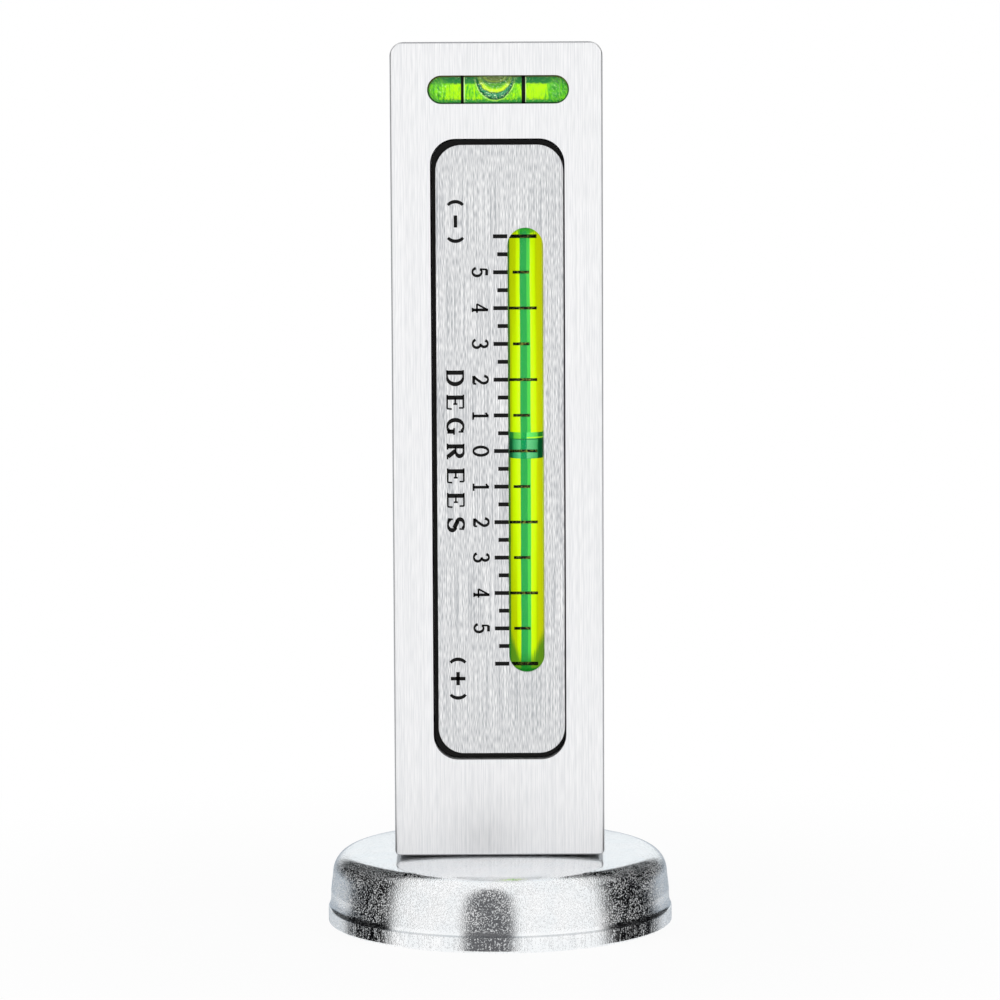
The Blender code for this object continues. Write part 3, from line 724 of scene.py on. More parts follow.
@dataclass(frozen=True)
class CamberBubbleAir(LitFluid):
    """The bent tube's bubble, all painted light: a dark green pool of painted refraction, a half-mixed zone
    over it, and fine lines of painted highlight and shade between them.
    """

    foot: float
    top: float
    streaks: ClassVar[Triple] = (900, 900, 5500)
    blur: ClassVar[float] = 0.02
    waver: ClassVar[float] = 0.05
    pool_share: ClassVar[float] = 0.75
    pool_fade: ClassVar[Point] = (-0.02, 0.01)
    foot_line: ClassVar[Point] = (0.035, 0.0)

    def bands(self, graph: Graph, share: Socket, height: Socket, streak: Socket) -> Socket:
        """Colour the pool and the zone above it, each in bands of painted refraction across.

        Args:
            graph: The material's graph.
            share: The share of the bubble's width.
            height: The share of its height.
            streak: The unevenness that the pool's bands waver by.

        Returns:
            The colour.
        """
        pool = stops(
            (0.0, 18, 84, 48), (0.09, 22, 92, 52), (0.14, 48, 158, 92), (0.33, 92, 196, 128),
            (0.36, 0, 150, 76), (0.51, 0, 144, 86), (0.53, 98, 200, 130), (0.82, 70, 176, 104),
            (0.86, 6, 88, 42), (1.0, 4, 80, 38),
        )
        half_mixed = stops(
            (0.0, 26, 110, 52), (0.12, 40, 140, 56), (0.16, 104, 206, 62), (0.34, 124, 218, 58),
            (0.36, 26, 166, 70), (0.51, 20, 158, 74), (0.53, 92, 232, 112), (0.82, 96, 214, 74),
            (0.87, 34, 136, 42), (1.0, 40, 140, 40),
        )
        wavy = graph.ramp(share + (streak - 0.5) * self.waver, pool)
        over_pool = height.rise(*(self.pool_share + fade for fade in self.pool_fade))
        return graph.mixed(over_pool, wavy, graph.ramp(share, half_mixed))

    def shader(self, graph: Graph) -> Socket:
        """Paint the two zones, the painted highlight and shade lines between them, and painted shade along
        the foot.

        Args:
            graph: The material's graph.

        Returns:
            The shader.
        """
        place = graph.place()
        across, _, up = graph.parts(place)
        streak = graph.noise(graph.scaled(place, self.streaks), 2.0)
        share = self.share_across(across)
        height = (up - self.foot) / (self.top - self.foot) + (streak - 0.5) * self.blur
        colour = self.bands(graph, share, height, streak)
        # A painted highlight (a bright lime line) and painted shade (a dark line) where the pool meets the
        # zone above it.
        for lift, fade, strength, line in (
            (0.045, (0.028, 0.008), share.rise(0.5, 0.56), tint(190, 250, 40)),
            (-0.015, (0.03, 0.01), 0.7, tint(20, 96, 40)),
        ):
            near = abs(height - self.pool_share - lift).rise(*fade)
            colour = graph.mixed(near * strength, colour, line)
        # Painted shade: a dark line along the bubble's foot.
        colour = graph.mixed(height.rise(*self.foot_line) * 0.8, colour, tint(14, 84, 40))
        return self.lit(graph, colour, streak)


@dataclass(frozen=True)
class CrossFluid(LitFluid):
    """Fluid in the cross vial, with painted light and shade: painted shade above, painted light in the
    middle, brightest beside the marks.
    """

    straight: float
    marks: Point
    half_mark: ClassVar[float] = 0.0003
    glint_fade: ClassVar[Point] = (0.00009, 0.00004)
    mark_fade: ClassVar[float] = 0.0002
    left_light: ClassVar[Point] = (-0.0046, -0.0006)
    right_light: ClassVar[Point] = (0.0044, 0.0024)
    left_end: ClassVar[Point] = (-0.0014, -0.003)
    right_end: ClassVar[Point] = (0.003, 0.0046)
    upright_streaks: ClassVar[Triple] = (5500, 1500, 700)
    mottling: ClassVar[Triple] = (3000, 3000, 3000)
    sparks: ClassVar[Triple] = (7500, 7500, 7500)
    slant: ClassVar[float] = 0.8
    slanted_streaks: ClassVar[Point] = (5200, 900)

    @staticmethod
    def beyond_mark(across: Socket, mark: float, fade: Point) -> Socket:
        """Rise from 0 to 1 between two distances to the right of a mark."""
        return across.rise(*(mark + way for way in fade))

    def lit_zones(self, across: Socket) -> Socket:
        """Find the parts of the fluid with painted light, along the vial.

        Args:
            across: The place along the vial.

        Returns:
            How much painted light the fluid has: 1 just outside the marks, less elsewhere.
        """
        left, right = self.marks
        fade = self.mark_fade
        before_left = self.beyond_mark(across, left, self.left_light) * across.rise(left + fade, left)
        after_right = self.beyond_mark(across, right, self.right_light) * across.rise(right, right + fade)
        between = across.rise(left, left + fade) * across.rise(right + fade, right) * 0.5
        return before_left.larger(after_right).larger(between)

    def glint_beside_marks(self, across: Socket) -> Socket:
        """Give 1 on a fine line at the right of each mark, where a painted highlight goes."""
        lines = [abs(across - (mark + self.half_mark)).rise(*self.glint_fade) for mark in self.marks]
        return lines[0].larger(lines[1])

    def shader(self, graph: Graph) -> Socket:
        """Paint light and shade into the fluid by height and by its distance from the marks, with painted
        glints, and paint shade on its rim.

        Args:
            graph: The material's graph.

        Returns:
            The shader.
        """
        place = graph.place()
        across, _, up = graph.parts(place)
        height = (up - self.centre.z) / self.radius
        upright = graph.noise(graph.scaled(place, self.upright_streaks), 2.0, 0.6)
        mottle = graph.noise(graph.scaled(place, self.mottling), 3.0, 0.7)
        left, right = self.marks
        # Painted light: brightest just outside the marks, half as bright between them, uneven in streaks.
        lit = self.lit_zones(across) + (upright - 0.5) * 3.0 + (mottle - 0.5) * 1.6
        middle = graph.mixed(lit.rise(-0.1, 0.4), tint(56, 168, 46), tint(120, 216, 34))
        middle = graph.mixed(lit.rise(0.45, 1.0), middle, tint(178, 240, 4))
        # Painted shade: darker green across the top and below the bright middle.
        edge = height + (upright - 0.5) * 0.35 + (mottle - 0.5) * 0.4
        colour = graph.mixed(edge.rise(0.38, 0.52), middle, tint(42, 128, 58))
        colour = graph.mixed(edge.rise(-0.6, -0.84), colour, tint(50, 154, 58))
        colour = graph.mixed(height.rise(0.5, 0.9) * 0.7, colour, tint(36, 110, 62))
        fine, long = self.slanted_streaks
        along, against = (across + up * self.slant) * fine, (across - up * self.slant) * long
        slanted = graph.noise(graph.joined(along, against, 0.0), 2.0)
        left_end = self.beyond_mark(across, left, self.left_end)
        outside = left_end.larger(self.beyond_mark(across, right, self.right_end))
        colour = graph.mixed(slanted.rise(0.5, 0.6) * outside * 0.6, colour, tint(128, 222, 14))
        colour = graph.mixed(slanted.rise(0.46, 0.36) * outside * 0.8, colour, tint(26, 118, 26))
        # Painted glints near the edges and in the ends.
        spark = graph.noise(graph.scaled(place, self.sparks), 0.0)
        near_edge = abs(height).rise(0.5, 0.95).larger(outside)
        colour = graph.mixed(spark.rise(0.7, 0.75) * near_edge, colour, tint(214, 250, 170))
        # Painted shade round the rim, brownish along the top.
        beyond = (abs(across - self.centre.x) - self.straight).larger(0.0) / self.radius
        rim = (beyond * beyond + height * height) ** 0.5 + (mottle - 0.5) * 0.08
        rim_shade_colour = graph.mixed(height.rise(-0.3, 0.5), tint(14, 62, 30), tint(84, 66, 20))
        colour = graph.mixed(rim.rise(0.92, 0.97), colour, rim_shade_colour)
        # A painted highlight on a fine line right of each mark.
        glint = self.glint_beside_marks(across) * rim.rise(0.96, 0.9) * 0.7
        return self.lit(graph, graph.mixed(glint, colour, tint(226, 252, 190)), mottle)


@dataclass(frozen=True)
class CrossBubbleAir(LitFluid):
    """The cross vial's bubble, all painted light: a dark crescent of painted refraction, a yellow one inside
    it, and a dull lens at the top.
    """

    reach: Point
    inner: ClassVar[Point] = (0.00246, 0.00236)
    lens: ClassVar[Point] = (0.0019, 0.00098)
    wobbling: ClassVar[Triple] = (2500, 2500, 2500)
    wobbles: ClassVar[Triple] = (0.09, 0.16, 0.15)
    sparks: ClassVar[Triple] = (8000, 8000, 8000)

    @staticmethod
    def oval(side: Socket, drop: Socket, reach: Point) -> Socket:
        """Give how far out of an oval's middle a place lies, 1 on the oval."""
        return ((side / reach[0]) ** 2.0 + (drop / reach[1]) ** 2.0) ** 0.5

    def shader(self, graph: Graph) -> Socket:
        """Paint the crescents of refraction by their distance from the middle of the bubble's top, painted
        shade under the top, and painted glints.

        Args:
            graph: The material's graph.

        Returns:
            The shader.
        """
        place = graph.place()
        across, _, up = graph.parts(place)
        wobble = graph.noise(graph.scaled(place, self.wobbling), 2.0) - 0.5
        side, drop = across - self.centre.x, up - self.centre.z
        from_top, in_crescent, in_lens = (
            self.oval(side, drop, reach) + wobble * strength
            for reach, strength in zip((self.reach, self.inner, self.lens), self.wobbles)
        )
        # Painted refraction: rings of light and shade round the bubble's top.
        rings = stops(
            (0.0, 34, 112, 74), (0.66, 34, 124, 84), (0.74, 70, 160, 110), (0.82, 40, 134, 86),
            (0.88, 14, 78, 44), (0.92, 34, 118, 60), (0.945, 190, 246, 90), (0.975, 150, 232, 70),
            (1.0, 50, 150, 54),
        )
        crescent = stops(
            (0.0, 96, 168, 30), (0.5, 92, 166, 34), (0.62, 62, 146, 40), (0.72, 110, 190, 40),
            (0.8, 176, 230, 20), (0.86, 210, 240, 44), (0.95, 190, 232, 36), (1.0, 50, 110, 40),
        )
        heart = stops(
            (0.0, 104, 116, 66), (0.35, 86, 104, 50), (0.5, 128, 140, 84), (0.62, 62, 92, 44),
            (0.8, 132, 158, 60), (1.0, 48, 88, 56),
        )
        outer, inner = graph.ramp(from_top, rings), graph.ramp(in_crescent, crescent)
        colour = graph.mixed(in_crescent.rise(1.03, 0.98), outer, inner)
        # Painted shade under the capsule's top.
        under_top = (drop + wobble * 0.0004).rise(-0.0012, -0.0008)
        colour = graph.mixed(under_top * 0.75, colour, tint(36, 104, 56))
        colour = graph.mixed(in_lens.rise(1.08, 0.98), colour, graph.ramp(in_lens, heart))
        # Painted glints: bright specks, and dark ones in the outer crescent.
        spark = graph.noise(graph.scaled(place, self.sparks), 0.0)
        colour = graph.mixed(spark.rise(0.68, 0.73), colour, tint(216, 244, 196))
        colour = graph.mixed(spark.rise(0.32, 0.27) * from_top.rise(0.6, 0.7), colour, tint(10, 58, 34))
        return self.lit(graph, colour, wobble + 0.5)


PLATE_FINISH = BrushedMetal(
    "plate_brushed_deeply",
    light=tint(250, 250, 250),
    dark=tint(172, 175, 179),
    roughness=0.45,
    metallic=0.7,
    streak_width=0.00008,
    streak_length=0.0011,
    relief=0.000001,
)
CUP_FINISH = PlatedSteel(
    "cup_zinc_plating",
    light=tint(252, 253, 254),
    dark=tint(243, 246, 248),
    rim_height=0.0022,
    clean_share=0.85,
    crease_share=0.14,
)
STEEL_FINISH = PlatedSteel(
    "steel_zinc_plating", tint(214, 216, 220), tint(196, 199, 204), roughness=0.24, dullness=0.4
)
FERRITE_FINISH = Moulding(
    "ferrite_sintered", tint(66, 66, 70), tint(46, 46, 50), roughness=0.6, grain=0.0003
)
RESIN_FINISH = Moulding(
    "resin_poured", tint(40, 40, 42), tint(26, 26, 28), roughness=0.25, grain=0.002, relief=0.00002, coat=0.5
)
CARRIER_FINISH = Moulding(
    "carrier_moulding",
    tint(14, 12, 11),
    tint(6, 5, 5),
    roughness=0.55,
    grain=0.0003,
    relief=0.000006,
    gloss=0.2,
)
WHITE_FINISH = Moulding(
    "white_moulding", tint(244, 244, 240), tint(232, 232, 228), roughness=0.4, grain=0.0005, relief=0.000004
)
FILM_FINISH = Moulding(
    "film_adhesive", tint(236, 234, 220), tint(220, 218, 204), roughness=0.55, grain=0.0008, relief=0.000004
)
PLUG_FINISH = Moulding(
    "plug_moulding",
    tint(110, 200, 60),
    tint(50, 140, 54),
    roughness=0.3,
    grain=0.0006,
    relief=0.000008,
    coat=0.4,
)
INK_FINISH = PrintedInk("ink_black")
# On the tube the ink's patches are a light olive, a painted highlight over the fluid's bright bands.
TUBE_INK_FINISH = PrintedInk(
    "ink_on_tube", black=tint(5, 8, 5), worn=tint(120, 132, 50), patch=0.00022, wear=(0.5, 0.62)
)
TUBE_FINISH = ClearWall("wall_clear_acrylic")


def arc(centre: Point, reach: Point, start: float, end: float, steps: int = CORNER_STEPS) -> Outline:
    """List the points of an arc.

    Args:
        centre: The arc's centre.
        reach: Its radii across and up.
        start: The first point's angle, in degrees.
        end: The last point's angle, in degrees.
        steps: How many chords it has.

    Returns:
        The points, in order.
    """
    turns = [radians(start + (end - start) * step / steps) for step in range(steps + 1)]
    return [(centre[0] + reach[0] * cos(turn), centre[1] + reach[1] * sin(turn)) for turn in turns]


def rounded_outline(width: float, height: float, radius: float, foot_radius: float) -> Outline:
    """List the points of a rounded rectangle about its centre, anticlockwise.

    Args:
        width: Its size across.
        height: Its size up.
        radius: The radius of its upper corners.
        foot_radius: The radius of its lower corners.

    Returns:
        The points, in order.
    """
    points = []
    for quarter, (side, end) in enumerate(((1, 1), (-1, 1), (-1, -1), (1, -1))):
        turn = radius if end > 0 else foot_radius
        centre = (side * (width / 2 - turn), end * (height / 2 - turn))
        points += arc(centre, (turn, turn), quarter * 90, quarter * 90 + 90)
    return points


def evenly(start: float, end: float, steps: int) -> list[float]:
    """List evenly spaced places from one to another, both included."""
    return [start + (end - start) * step / steps for step in range(steps + 1)]


def tidied(shape: Shape) -> Shape:
    """Weld a shape's coinciding points and turn its faces outward.

    Args:
        shape: The shape.

    Returns:
        The same shape.
    """
    bmesh.ops.remove_doubles(shape, verts=shape.verts, dist=WELD_DISTANCE)
    bmesh.ops.recalc_face_normals(shape, faces=shape.faces)
    return shape


def lofted(rings: Sequence[Ring], closed: bool = False) -> Shape:
    """Skin a row of rings.

    Args:
        rings: The rings, with as many points each.
        closed: Whether the last ring joins the first, instead of a cap on each.

    Returns:
        The closed shape.
    """
    shape = bmesh.new()
    rows = [[shape.verts.new(point) for point in ring] for ring in rings]
    pairs = list(pairwise(rows)) + ([(rows[-1], rows[0])] if closed else [])
    for lower, upper in pairs:
        for (first, second), (third, fourth) in zip(
            pairwise(lower + lower[:1]), pairwise(upper + upper[:1])
        ):
            shape.faces.new((first, second, fourth, third))
    if not closed:
        shape.faces.new(rows[0])
        shape.faces.new(rows[-1])
    return tidied(shape)


def turned(profile: Outline, sides: int) -> Shape:
    """Turn a profile about Z.

    Args:
        profile: Its points, each a radius and a height; one that leaves the axis closes on itself.
        sides: How many facets it has round the axis.

    Returns:
        The shape.
    """
    turns = [2 * pi * side / sides for side in range(sides)]
    rings = [
        [Vector((radius * cos(turn), radius * sin(turn), height)) for turn in turns]
        for radius, height in profile
    ]
    return lofted(rings, closed=profile[0][0] > 0)


def slab(
    width: float,
    height: float,
    radius: float,
    front: float,
    back: float,
    edge: float,
    foot_radius: float | None = None,
) -> Shape:
    """Make a rounded plate that lies across Y.

    Args:
        width: Its size along X.
        height: Its size along Z.
        radius: Its corners' radius.
        front: The depth of its front face.
        back: The depth of its back face.
        edge: The radius that softens its rims, zero for none.
        foot_radius: Its lower corners' radius, where that differs.

    Returns:
        The shape, about its own centre.
    """
    foot = radius if foot_radius is None else foot_radius
    sections = [(0.0, front), (0.0, back)]
    if edge > 0:
        rim = [(edge * (1 - sin(turn)), edge * (1 - cos(turn))) for turn in evenly(0, pi / 2, EDGE_STEPS)]
        sections = [(inset, front + drop) for inset, drop in rim]
        sections += [(inset, back - drop) for inset, drop in reversed(rim)]
    rings = []
    for inset, deep in sections:
        outline = rounded_outline(width - 2 * inset, height - 2 * inset, radius - inset, foot - inset)
        rings.append([Vector((across, deep, up)) for across, up in outline])
    return lofted(rings)


def moved(shape: Shape, offset: Vector) -> Shape:
    """Move a shape."""
    bmesh.ops.translate(shape, verts=shape.verts, vec=offset)
    return shape


def laid_across(shape: Shape, centre: Vector) -> Shape:
    """Lay a shape that stands along Z down along X.

    Args:
        shape: The shape, about the origin.
        centre: Where its middle goes.

    Returns:
        The same shape.
    """
    for vertex in shape.verts:
        across, deep, along = vertex.co
        vertex.co = centre + Vector((along, deep, -across))
    return shape


def merged(shapes: Iterable[Shape]) -> Shape:
    """Gather separate shapes into one.

    Args:
        shapes: The shapes, which are used up.

    Returns:
        The one shape.
    """
    whole = bmesh.new()
    for shape in shapes:
        mesh = bpy.data.meshes.new("part")
        shape.to_mesh(mesh)
        shape.free()
        whole.from_mesh(mesh)
        bpy.data.meshes.remove(mesh)
    return whole


def scratch_object(shape: Shape) -> bpy.types.Object:
    """Put a shape in the scene for a Boolean to read.

    Args:
        shape: The shape, which is used up.

    Returns:
        Its object.
    """
    mesh = bpy.data.meshes.new("scratch")
    shape.to_mesh(mesh)
    shape.free()
    made = bpy.data.objects.new("scratch", mesh)
    bpy.context.scene.collection.objects.link(made)
    return made


def carved(shape: Shape, cutters: Sequence[Shape]) -> Shape:
    """Cut shapes out of a shape.

    Args:
        shape: The shape, which is used up.
        cutters: The shapes to cut out, which are used up too.

    Returns:
        What is left of the shape.
    """
    blank = scratch_object(shape)
    tools = [scratch_object(cutter) for cutter in cutters]
    for tool in tools:
        boolean = blank.modifiers.new("cut", "BOOLEAN")
        boolean.operation = "DIFFERENCE"
        boolean.solver = "EXACT"
        boolean.object = tool
    depsgraph = bpy.context.evaluated_depsgraph_get()
    mesh = bpy.data.meshes.new_from_object(blank.evaluated_get(depsgraph))
    result = bmesh.new()
    result.from_mesh(mesh)
    for scratch in [blank, *tools]:
        old = scratch.data
        bpy.data.objects.remove(scratch)
        bpy.data.meshes.remove(old)
    bpy.data.meshes.remove(mesh)
    return result


def add_piece(
    name: str,
    shape: Shape,
    finish: Finish,
    body: Body = Body.HOUSING,
    replaces: Sequence[str] = (),
) -> None:
    """Add a finished piece to the gauge.

    Args:
        name: The piece's name.
        shape: Its shape, in place.
        finish: Its finish.
        body: The body that it rides on.
        replaces: The solids that it stands for.
    """
    mesh = bpy.data.meshes.new(name)
    shape.to_mesh(mesh)
    shape.free()
    mesh.materials.append(finish.material())
    mesh.shade_smooth()
    mesh.set_sharp_from_angle(angle=radians(CREASE_ANGLE))
    piece = bpy.data.objects.new(name, mesh)
    bpy.context.scene.collection.objects.link(piece)
    weights = piece.modifiers.new("even_faces", "WEIGHTED_NORMAL")
    weights.keep_sharp = True
    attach(piece, body.value)
    if replaces:
        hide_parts(*replaces)
    LOG.info("%s rides on %s, %d faces", name, body.value, len(mesh.polygons))


def dress_solid(node: str, finish: Finish) -> None:
    """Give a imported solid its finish.

    Args:
        node: The solid's name.
        finish: Its finish.
    """
    solid = frame["nodes"][node]
    solid.data.materials.clear()
    solid.data.materials.append(finish.material())
    LOG.info("%s keeps its packed shape", node)


@dataclass(frozen=True)
class Box:
    """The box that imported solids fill."""

    low: Vector
    high: Vector

    @classmethod
    def of(cls, *nodes: str) -> "Box":
        """Measure the box round some solids.

        Args:
            *nodes: The solids' names.

        Returns:
            The box.
        """
        corners = [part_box(node) for node in nodes]
        low = Vector(min(box[0][axis] for box in corners) for axis in range(3))
        high = Vector(max(box[1][axis] for box in corners) for axis in range(3))
        return cls(low, high)

    @property
    def size(self) -> Vector:
        """Give the box's lengths."""
        return self.high - self.low

    @property
    def middle(self) -> Vector:
        """Give the box's centre."""
        return (self.high + self.low) / 2


@dataclass(frozen=True)
class Arch:
    """The arch that the camber vial is bent to, in the plane across X."""

    centre: Vector
    radius: float

    @classmethod
    def measured(cls, tube_radius: float) -> "Arch":
        """Take the arch from the bubble's hinge and the bent tube's crown.

        Args:
            tube_radius: The tube's outer radius.

        Returns:
            The arch.
        """
        hinge = next(joint for joint in frame["joints"] if joint["name"] == "camber_bubble_travel")
        centre = Vector(hinge["pos_m"])
        return cls(centre, centre.y - Box.of("camber_vial_tube").low.y - tube_radius)

    @property
    def crown(self) -> Vector:
        """Give the place of the tube's axis at the arch's crown."""
        return self.centre - Vector((0, self.radius, 0))

    @property
    def per_degree(self) -> float:
        """Give the way along the arch for each degree."""
        return self.radius * radians(1)

    def bent(self, shape: Shape) -> Shape:
        """Bend a shape so that it lies along the arch.

        Args:
            shape: The shape, which stands along Z about the origin.

        Returns:
            The same shape.
        """
        for vertex in shape.verts:
            turn = vertex.co.z / self.radius
            reach = self.radius - vertex.co.y
            vertex.co = self.centre + Vector((vertex.co.x, -reach * cos(turn), reach * sin(turn)))
        return shape


@dataclass
class Bar:
    """The bar, with rounded ends and edges, a pocket and a slot for the vials, and the base screw's hole."""

    corner_radius: float = 0.002
    foot_corner: float = 0.0008
    foot_reach: float = 0.0002
    edge_radius: float = 0.0004
    pocket_corner: float = 0.0036
    carrier_gap: float = 0.0002
    floor_gap: float = 0.0003
    slot_gap: float = 0.00015
    bed_gap: float = 0.0002
    hole_radius: float = 0.0033
    hole_spare: float = 0.0015
    hole_sides: int = 48
    drill_point: float = 118

    def build(self) -> None:
        """Mill the bar from a rounded block."""
        body = Box.of("bar_body")
        bar = Box(body.low - Vector((0, 0, self.foot_reach)), body.high)
        size = bar.size
        block = slab(
            size.x, size.z, self.corner_radius, bar.low.y, bar.high.y, self.edge_radius, self.foot_corner
        )
        block = moved(block, Vector((bar.middle.x, 0, bar.middle.z)))
        shape = carved(block, [self.pocket(bar.low.y), self.slot(bar.low.y), self.hole(bar.low.z)])
        finish = BrushedMetal(
            "bar_brushed_vertically",
            light=tint(247, 247, 248),
            dark=tint(230, 231, 233),
            roughness=0.42,
            metallic=0.75,
            streak_width=0.00013,
            streak_length=0.003,
            relief=0.000001,
            low=bar.low,
            high=bar.high,
            edge_share=0.8,
        )
        add_piece("brushed_bar", shape, finish, replaces=["bar_body"])

    def pocket(self, front: float) -> Shape:
        """Make the cutter of the carrier's pocket.

        Args:
            front: The depth of the bar's front face.

        Returns:
            The cutter.
        """
        carrier = Box.of("vial_carrier")
        width, height = (carrier.size[axis] + 2 * self.carrier_gap for axis in (0, 2))
        floor = carrier.high.y + self.floor_gap
        cutter = slab(width, height, self.pocket_corner, front - CUT_OVERRUN, floor, 0)
        return moved(cutter, Vector((carrier.middle.x, 0, carrier.middle.z)))

    def slot(self, front: float) -> Shape:
        """Make the cutter of the cross vial's slot.

        Args:
            front: The depth of the bar's front face.

        Returns:
            The cutter.
        """
        vial = Box.of("cross_vial_tube", "cross_vial_plug")
        width, height = (vial.size[axis] + 2 * self.slot_gap for axis in (0, 2))
        floor = Box.of("cross_vial_bed").high.y + self.bed_gap
        cutter = slab(width, height, height / 2, front - CUT_OVERRUN, floor, 0)
        return moved(cutter, Vector((vial.middle.x, 0, vial.middle.z)))

    def hole(self, foot: float) -> Shape:
        """Make the cutter of the screw's drilled hole.

        Args:
            foot: The height of the bar's foot.

        Returns:
            The cutter.
        """
        top = Box.of("base_screw").high.z + self.hole_spare
        point = top + self.hole_radius / tan(radians(self.drill_point / 2))
        start = foot - CUT_OVERRUN
        profile = [(0, start), (self.hole_radius, start), (self.hole_radius, top), (0, point)]
        return turned(profile, self.hole_sides)


@dataclass(frozen=True)
class Stroke:
    """One stroke of a character, in shares of its width and height; its weight, where given, is fixed."""

    points: Outline
    weight: float | None = None
    closed: bool = False


def stem(across: float, low: float = 0.0, high: float = 1.0) -> Stroke:
    """Draw an upright stroke."""
    return Stroke([(across, low), (across, high)])


def hairline(*points: Point) -> Stroke:
    """Draw a thin stroke."""
    return Stroke(list(points), 0.0)


def heavy(*points: Point) -> Stroke:
    """Draw a thick stroke."""
    return Stroke(list(points), 1.0)


def figure_strokes(sign: str) -> list[Stroke]:
    """Draw a figure, letter or sign with a broad pen.

    Args:
        sign: The character.

    Returns:
        Its strokes.
    """
    strokes = {
        "0": [Stroke(arc((0.5, 0.5), (0.44, 0.47), 0, 360, 40)[:-1], closed=True)],
        "1": [stem(0.55), hairline((0.22, 0.8), (0.55, 0.97)), hairline((0.16, 0.03), (0.94, 0.03))],
        "2": [
            Stroke(arc((0.48, 0.7), (0.38, 0.27), 175, -25) + [(0.5, 0.3), (0.14, 0.06)]),
            heavy((0.1, 0.07), (0.88, 0.07)),
            hairline((0.9, 0.03), (0.94, 0.24)),
        ],
        "3": [
            Stroke(arc((0.46, 0.74), (0.34, 0.23), 165, -90)),
            Stroke(arc((0.46, 0.27), (0.42, 0.25), 90, -165)),
        ],
        "4": [
            stem(0.68),
            hairline((0.68, 0.98), (0.06, 0.3)),
            hairline((0.04, 0.3), (0.98, 0.3)),
            hairline((0.46, 0.03), (0.9, 0.03)),
        ],
        "5": [
            heavy((0.2, 0.92), (0.82, 0.92)),
            hairline((0.2, 0.94), (0.17, 0.5)),
            Stroke(arc((0.46, 0.32), (0.42, 0.29), 135, -165)),
        ],
        "D": [
            stem(0.2),
            Stroke([(0.05, 0.97)] + arc((0.46, 0.5), (0.45, 0.47), 90, -90) + [(0.05, 0.03)]),
        ],
        "E": [
            stem(0.22),
            hairline((0.04, 0.97), (0.86, 0.97)),
            hairline((0.04, 0.03), (0.9, 0.03)),
            hairline((0.22, 0.5), (0.62, 0.5)),
            hairline((0.86, 0.98), (0.86, 0.72)),
            hairline((0.9, 0.02), (0.93, 0.3)),
            hairline((0.62, 0.38), (0.62, 0.62)),
        ],
        "G": [
            Stroke(arc((0.5, 0.5), (0.42, 0.47), 48, 318)),
            stem(0.8, 0.03, 0.42),
            hairline((0.58, 0.42), (1.0, 0.42)),
            hairline((0.82, 0.97), (0.82, 0.68)),
        ],
        "R": [
            stem(0.2),
            Stroke([(0.04, 0.97)] + arc((0.5, 0.74), (0.3, 0.23), 90, -90) + [(0.2, 0.51)]),
            heavy((0.46, 0.5), (0.84, 0.06)),
            hairline((0.02, 0.03), (0.4, 0.03)),
            hairline((0.72, 0.03), (1.0, 0.03)),
        ],
        "S": [
            Stroke(arc((0.48, 0.73), (0.32, 0.24), 40, 250)),
            heavy((0.26, 0.6), (0.7, 0.4)),
            Stroke(arc((0.48, 0.28), (0.36, 0.25), 60, -150)),
            hairline((0.78, 0.97), (0.76, 0.7)),
            hairline((0.14, 0.03), (0.16, 0.32)),
        ],
        "-": [heavy((0.05, 0.5), (0.95, 0.5))],
        "+": [heavy((0.0, 0.5), (1.0, 0.5)), heavy((0.5, 0.0), (0.5, 1.0))],
        "(": [Stroke(arc((1.0, 0.5), (0.6, 0.62), 125, 235))],
        ")": [Stroke(arc((0.0, 0.5), (0.6, 0.62), 55, -55))],
    }
    return strokes[sign]


@dataclass(frozen=True)
class Lettering:
    """How a line of print is drawn: it reads down the plate, with its tops to the right."""

    width: float
    height: float
    thick: float
    thin: float

    def stroke_shape(self, stroke: Stroke, foot: float, start: float, layer: Point) -> Shape:
        """Draw a stroke in raised ink.

        Args:
            stroke: The stroke.
            foot: Where the print's feet stand, along X.
            start: Where the character starts, along Z.
            layer: The depths of the ink's front and back.

        Returns:
            The stroke's shape.
        """
        front, back = layer
        points = [Vector((share * self.width, up * self.height)) for share, up in stroke.points]
        rings = []
        last = len(points) - 1
        for number, point in enumerate(points):
            if stroke.closed:
                before, after = points[number - 1], points[(number + 1) % len(points)]
            else:
                before, after = points[max(number - 1, 0)], points[min(number + 1, last)]
            way = (after - before).normalized()
            weight = abs(way.y) if stroke.weight is None else stroke.weight
            half = (self.thin + (self.thick - self.thin) * weight) / 2
            side = Vector((-way.y, way.x)) * half
            ring = []
            for corner, deep in ((side, front), (-side, front), (-side, back), (side, back)):
                share, up = point + corner
                ring.append(Vector((foot + up, deep, start - share)))
            rings.append(ring)
        return lofted(rings, closed=stroke.closed)

    def line(self, text: str, foot: float, start: float, pitch: float, layer: Point) -> list[Shape]:
        """Draw a line of characters.

        Args:
            text: The characters.
            foot: Where the print's feet stand, along X.
            start: Where the first character starts, along Z.
            pitch: How far each character starts from the one before.
            layer: The depths of the ink's front and back.

        Returns:
            The strokes' shapes.
        """
        return [
            self.stroke_shape(stroke, foot, start - number * pitch, layer)
            for number, sign in enumerate(text)
            for stroke in figure_strokes(sign)
        ]


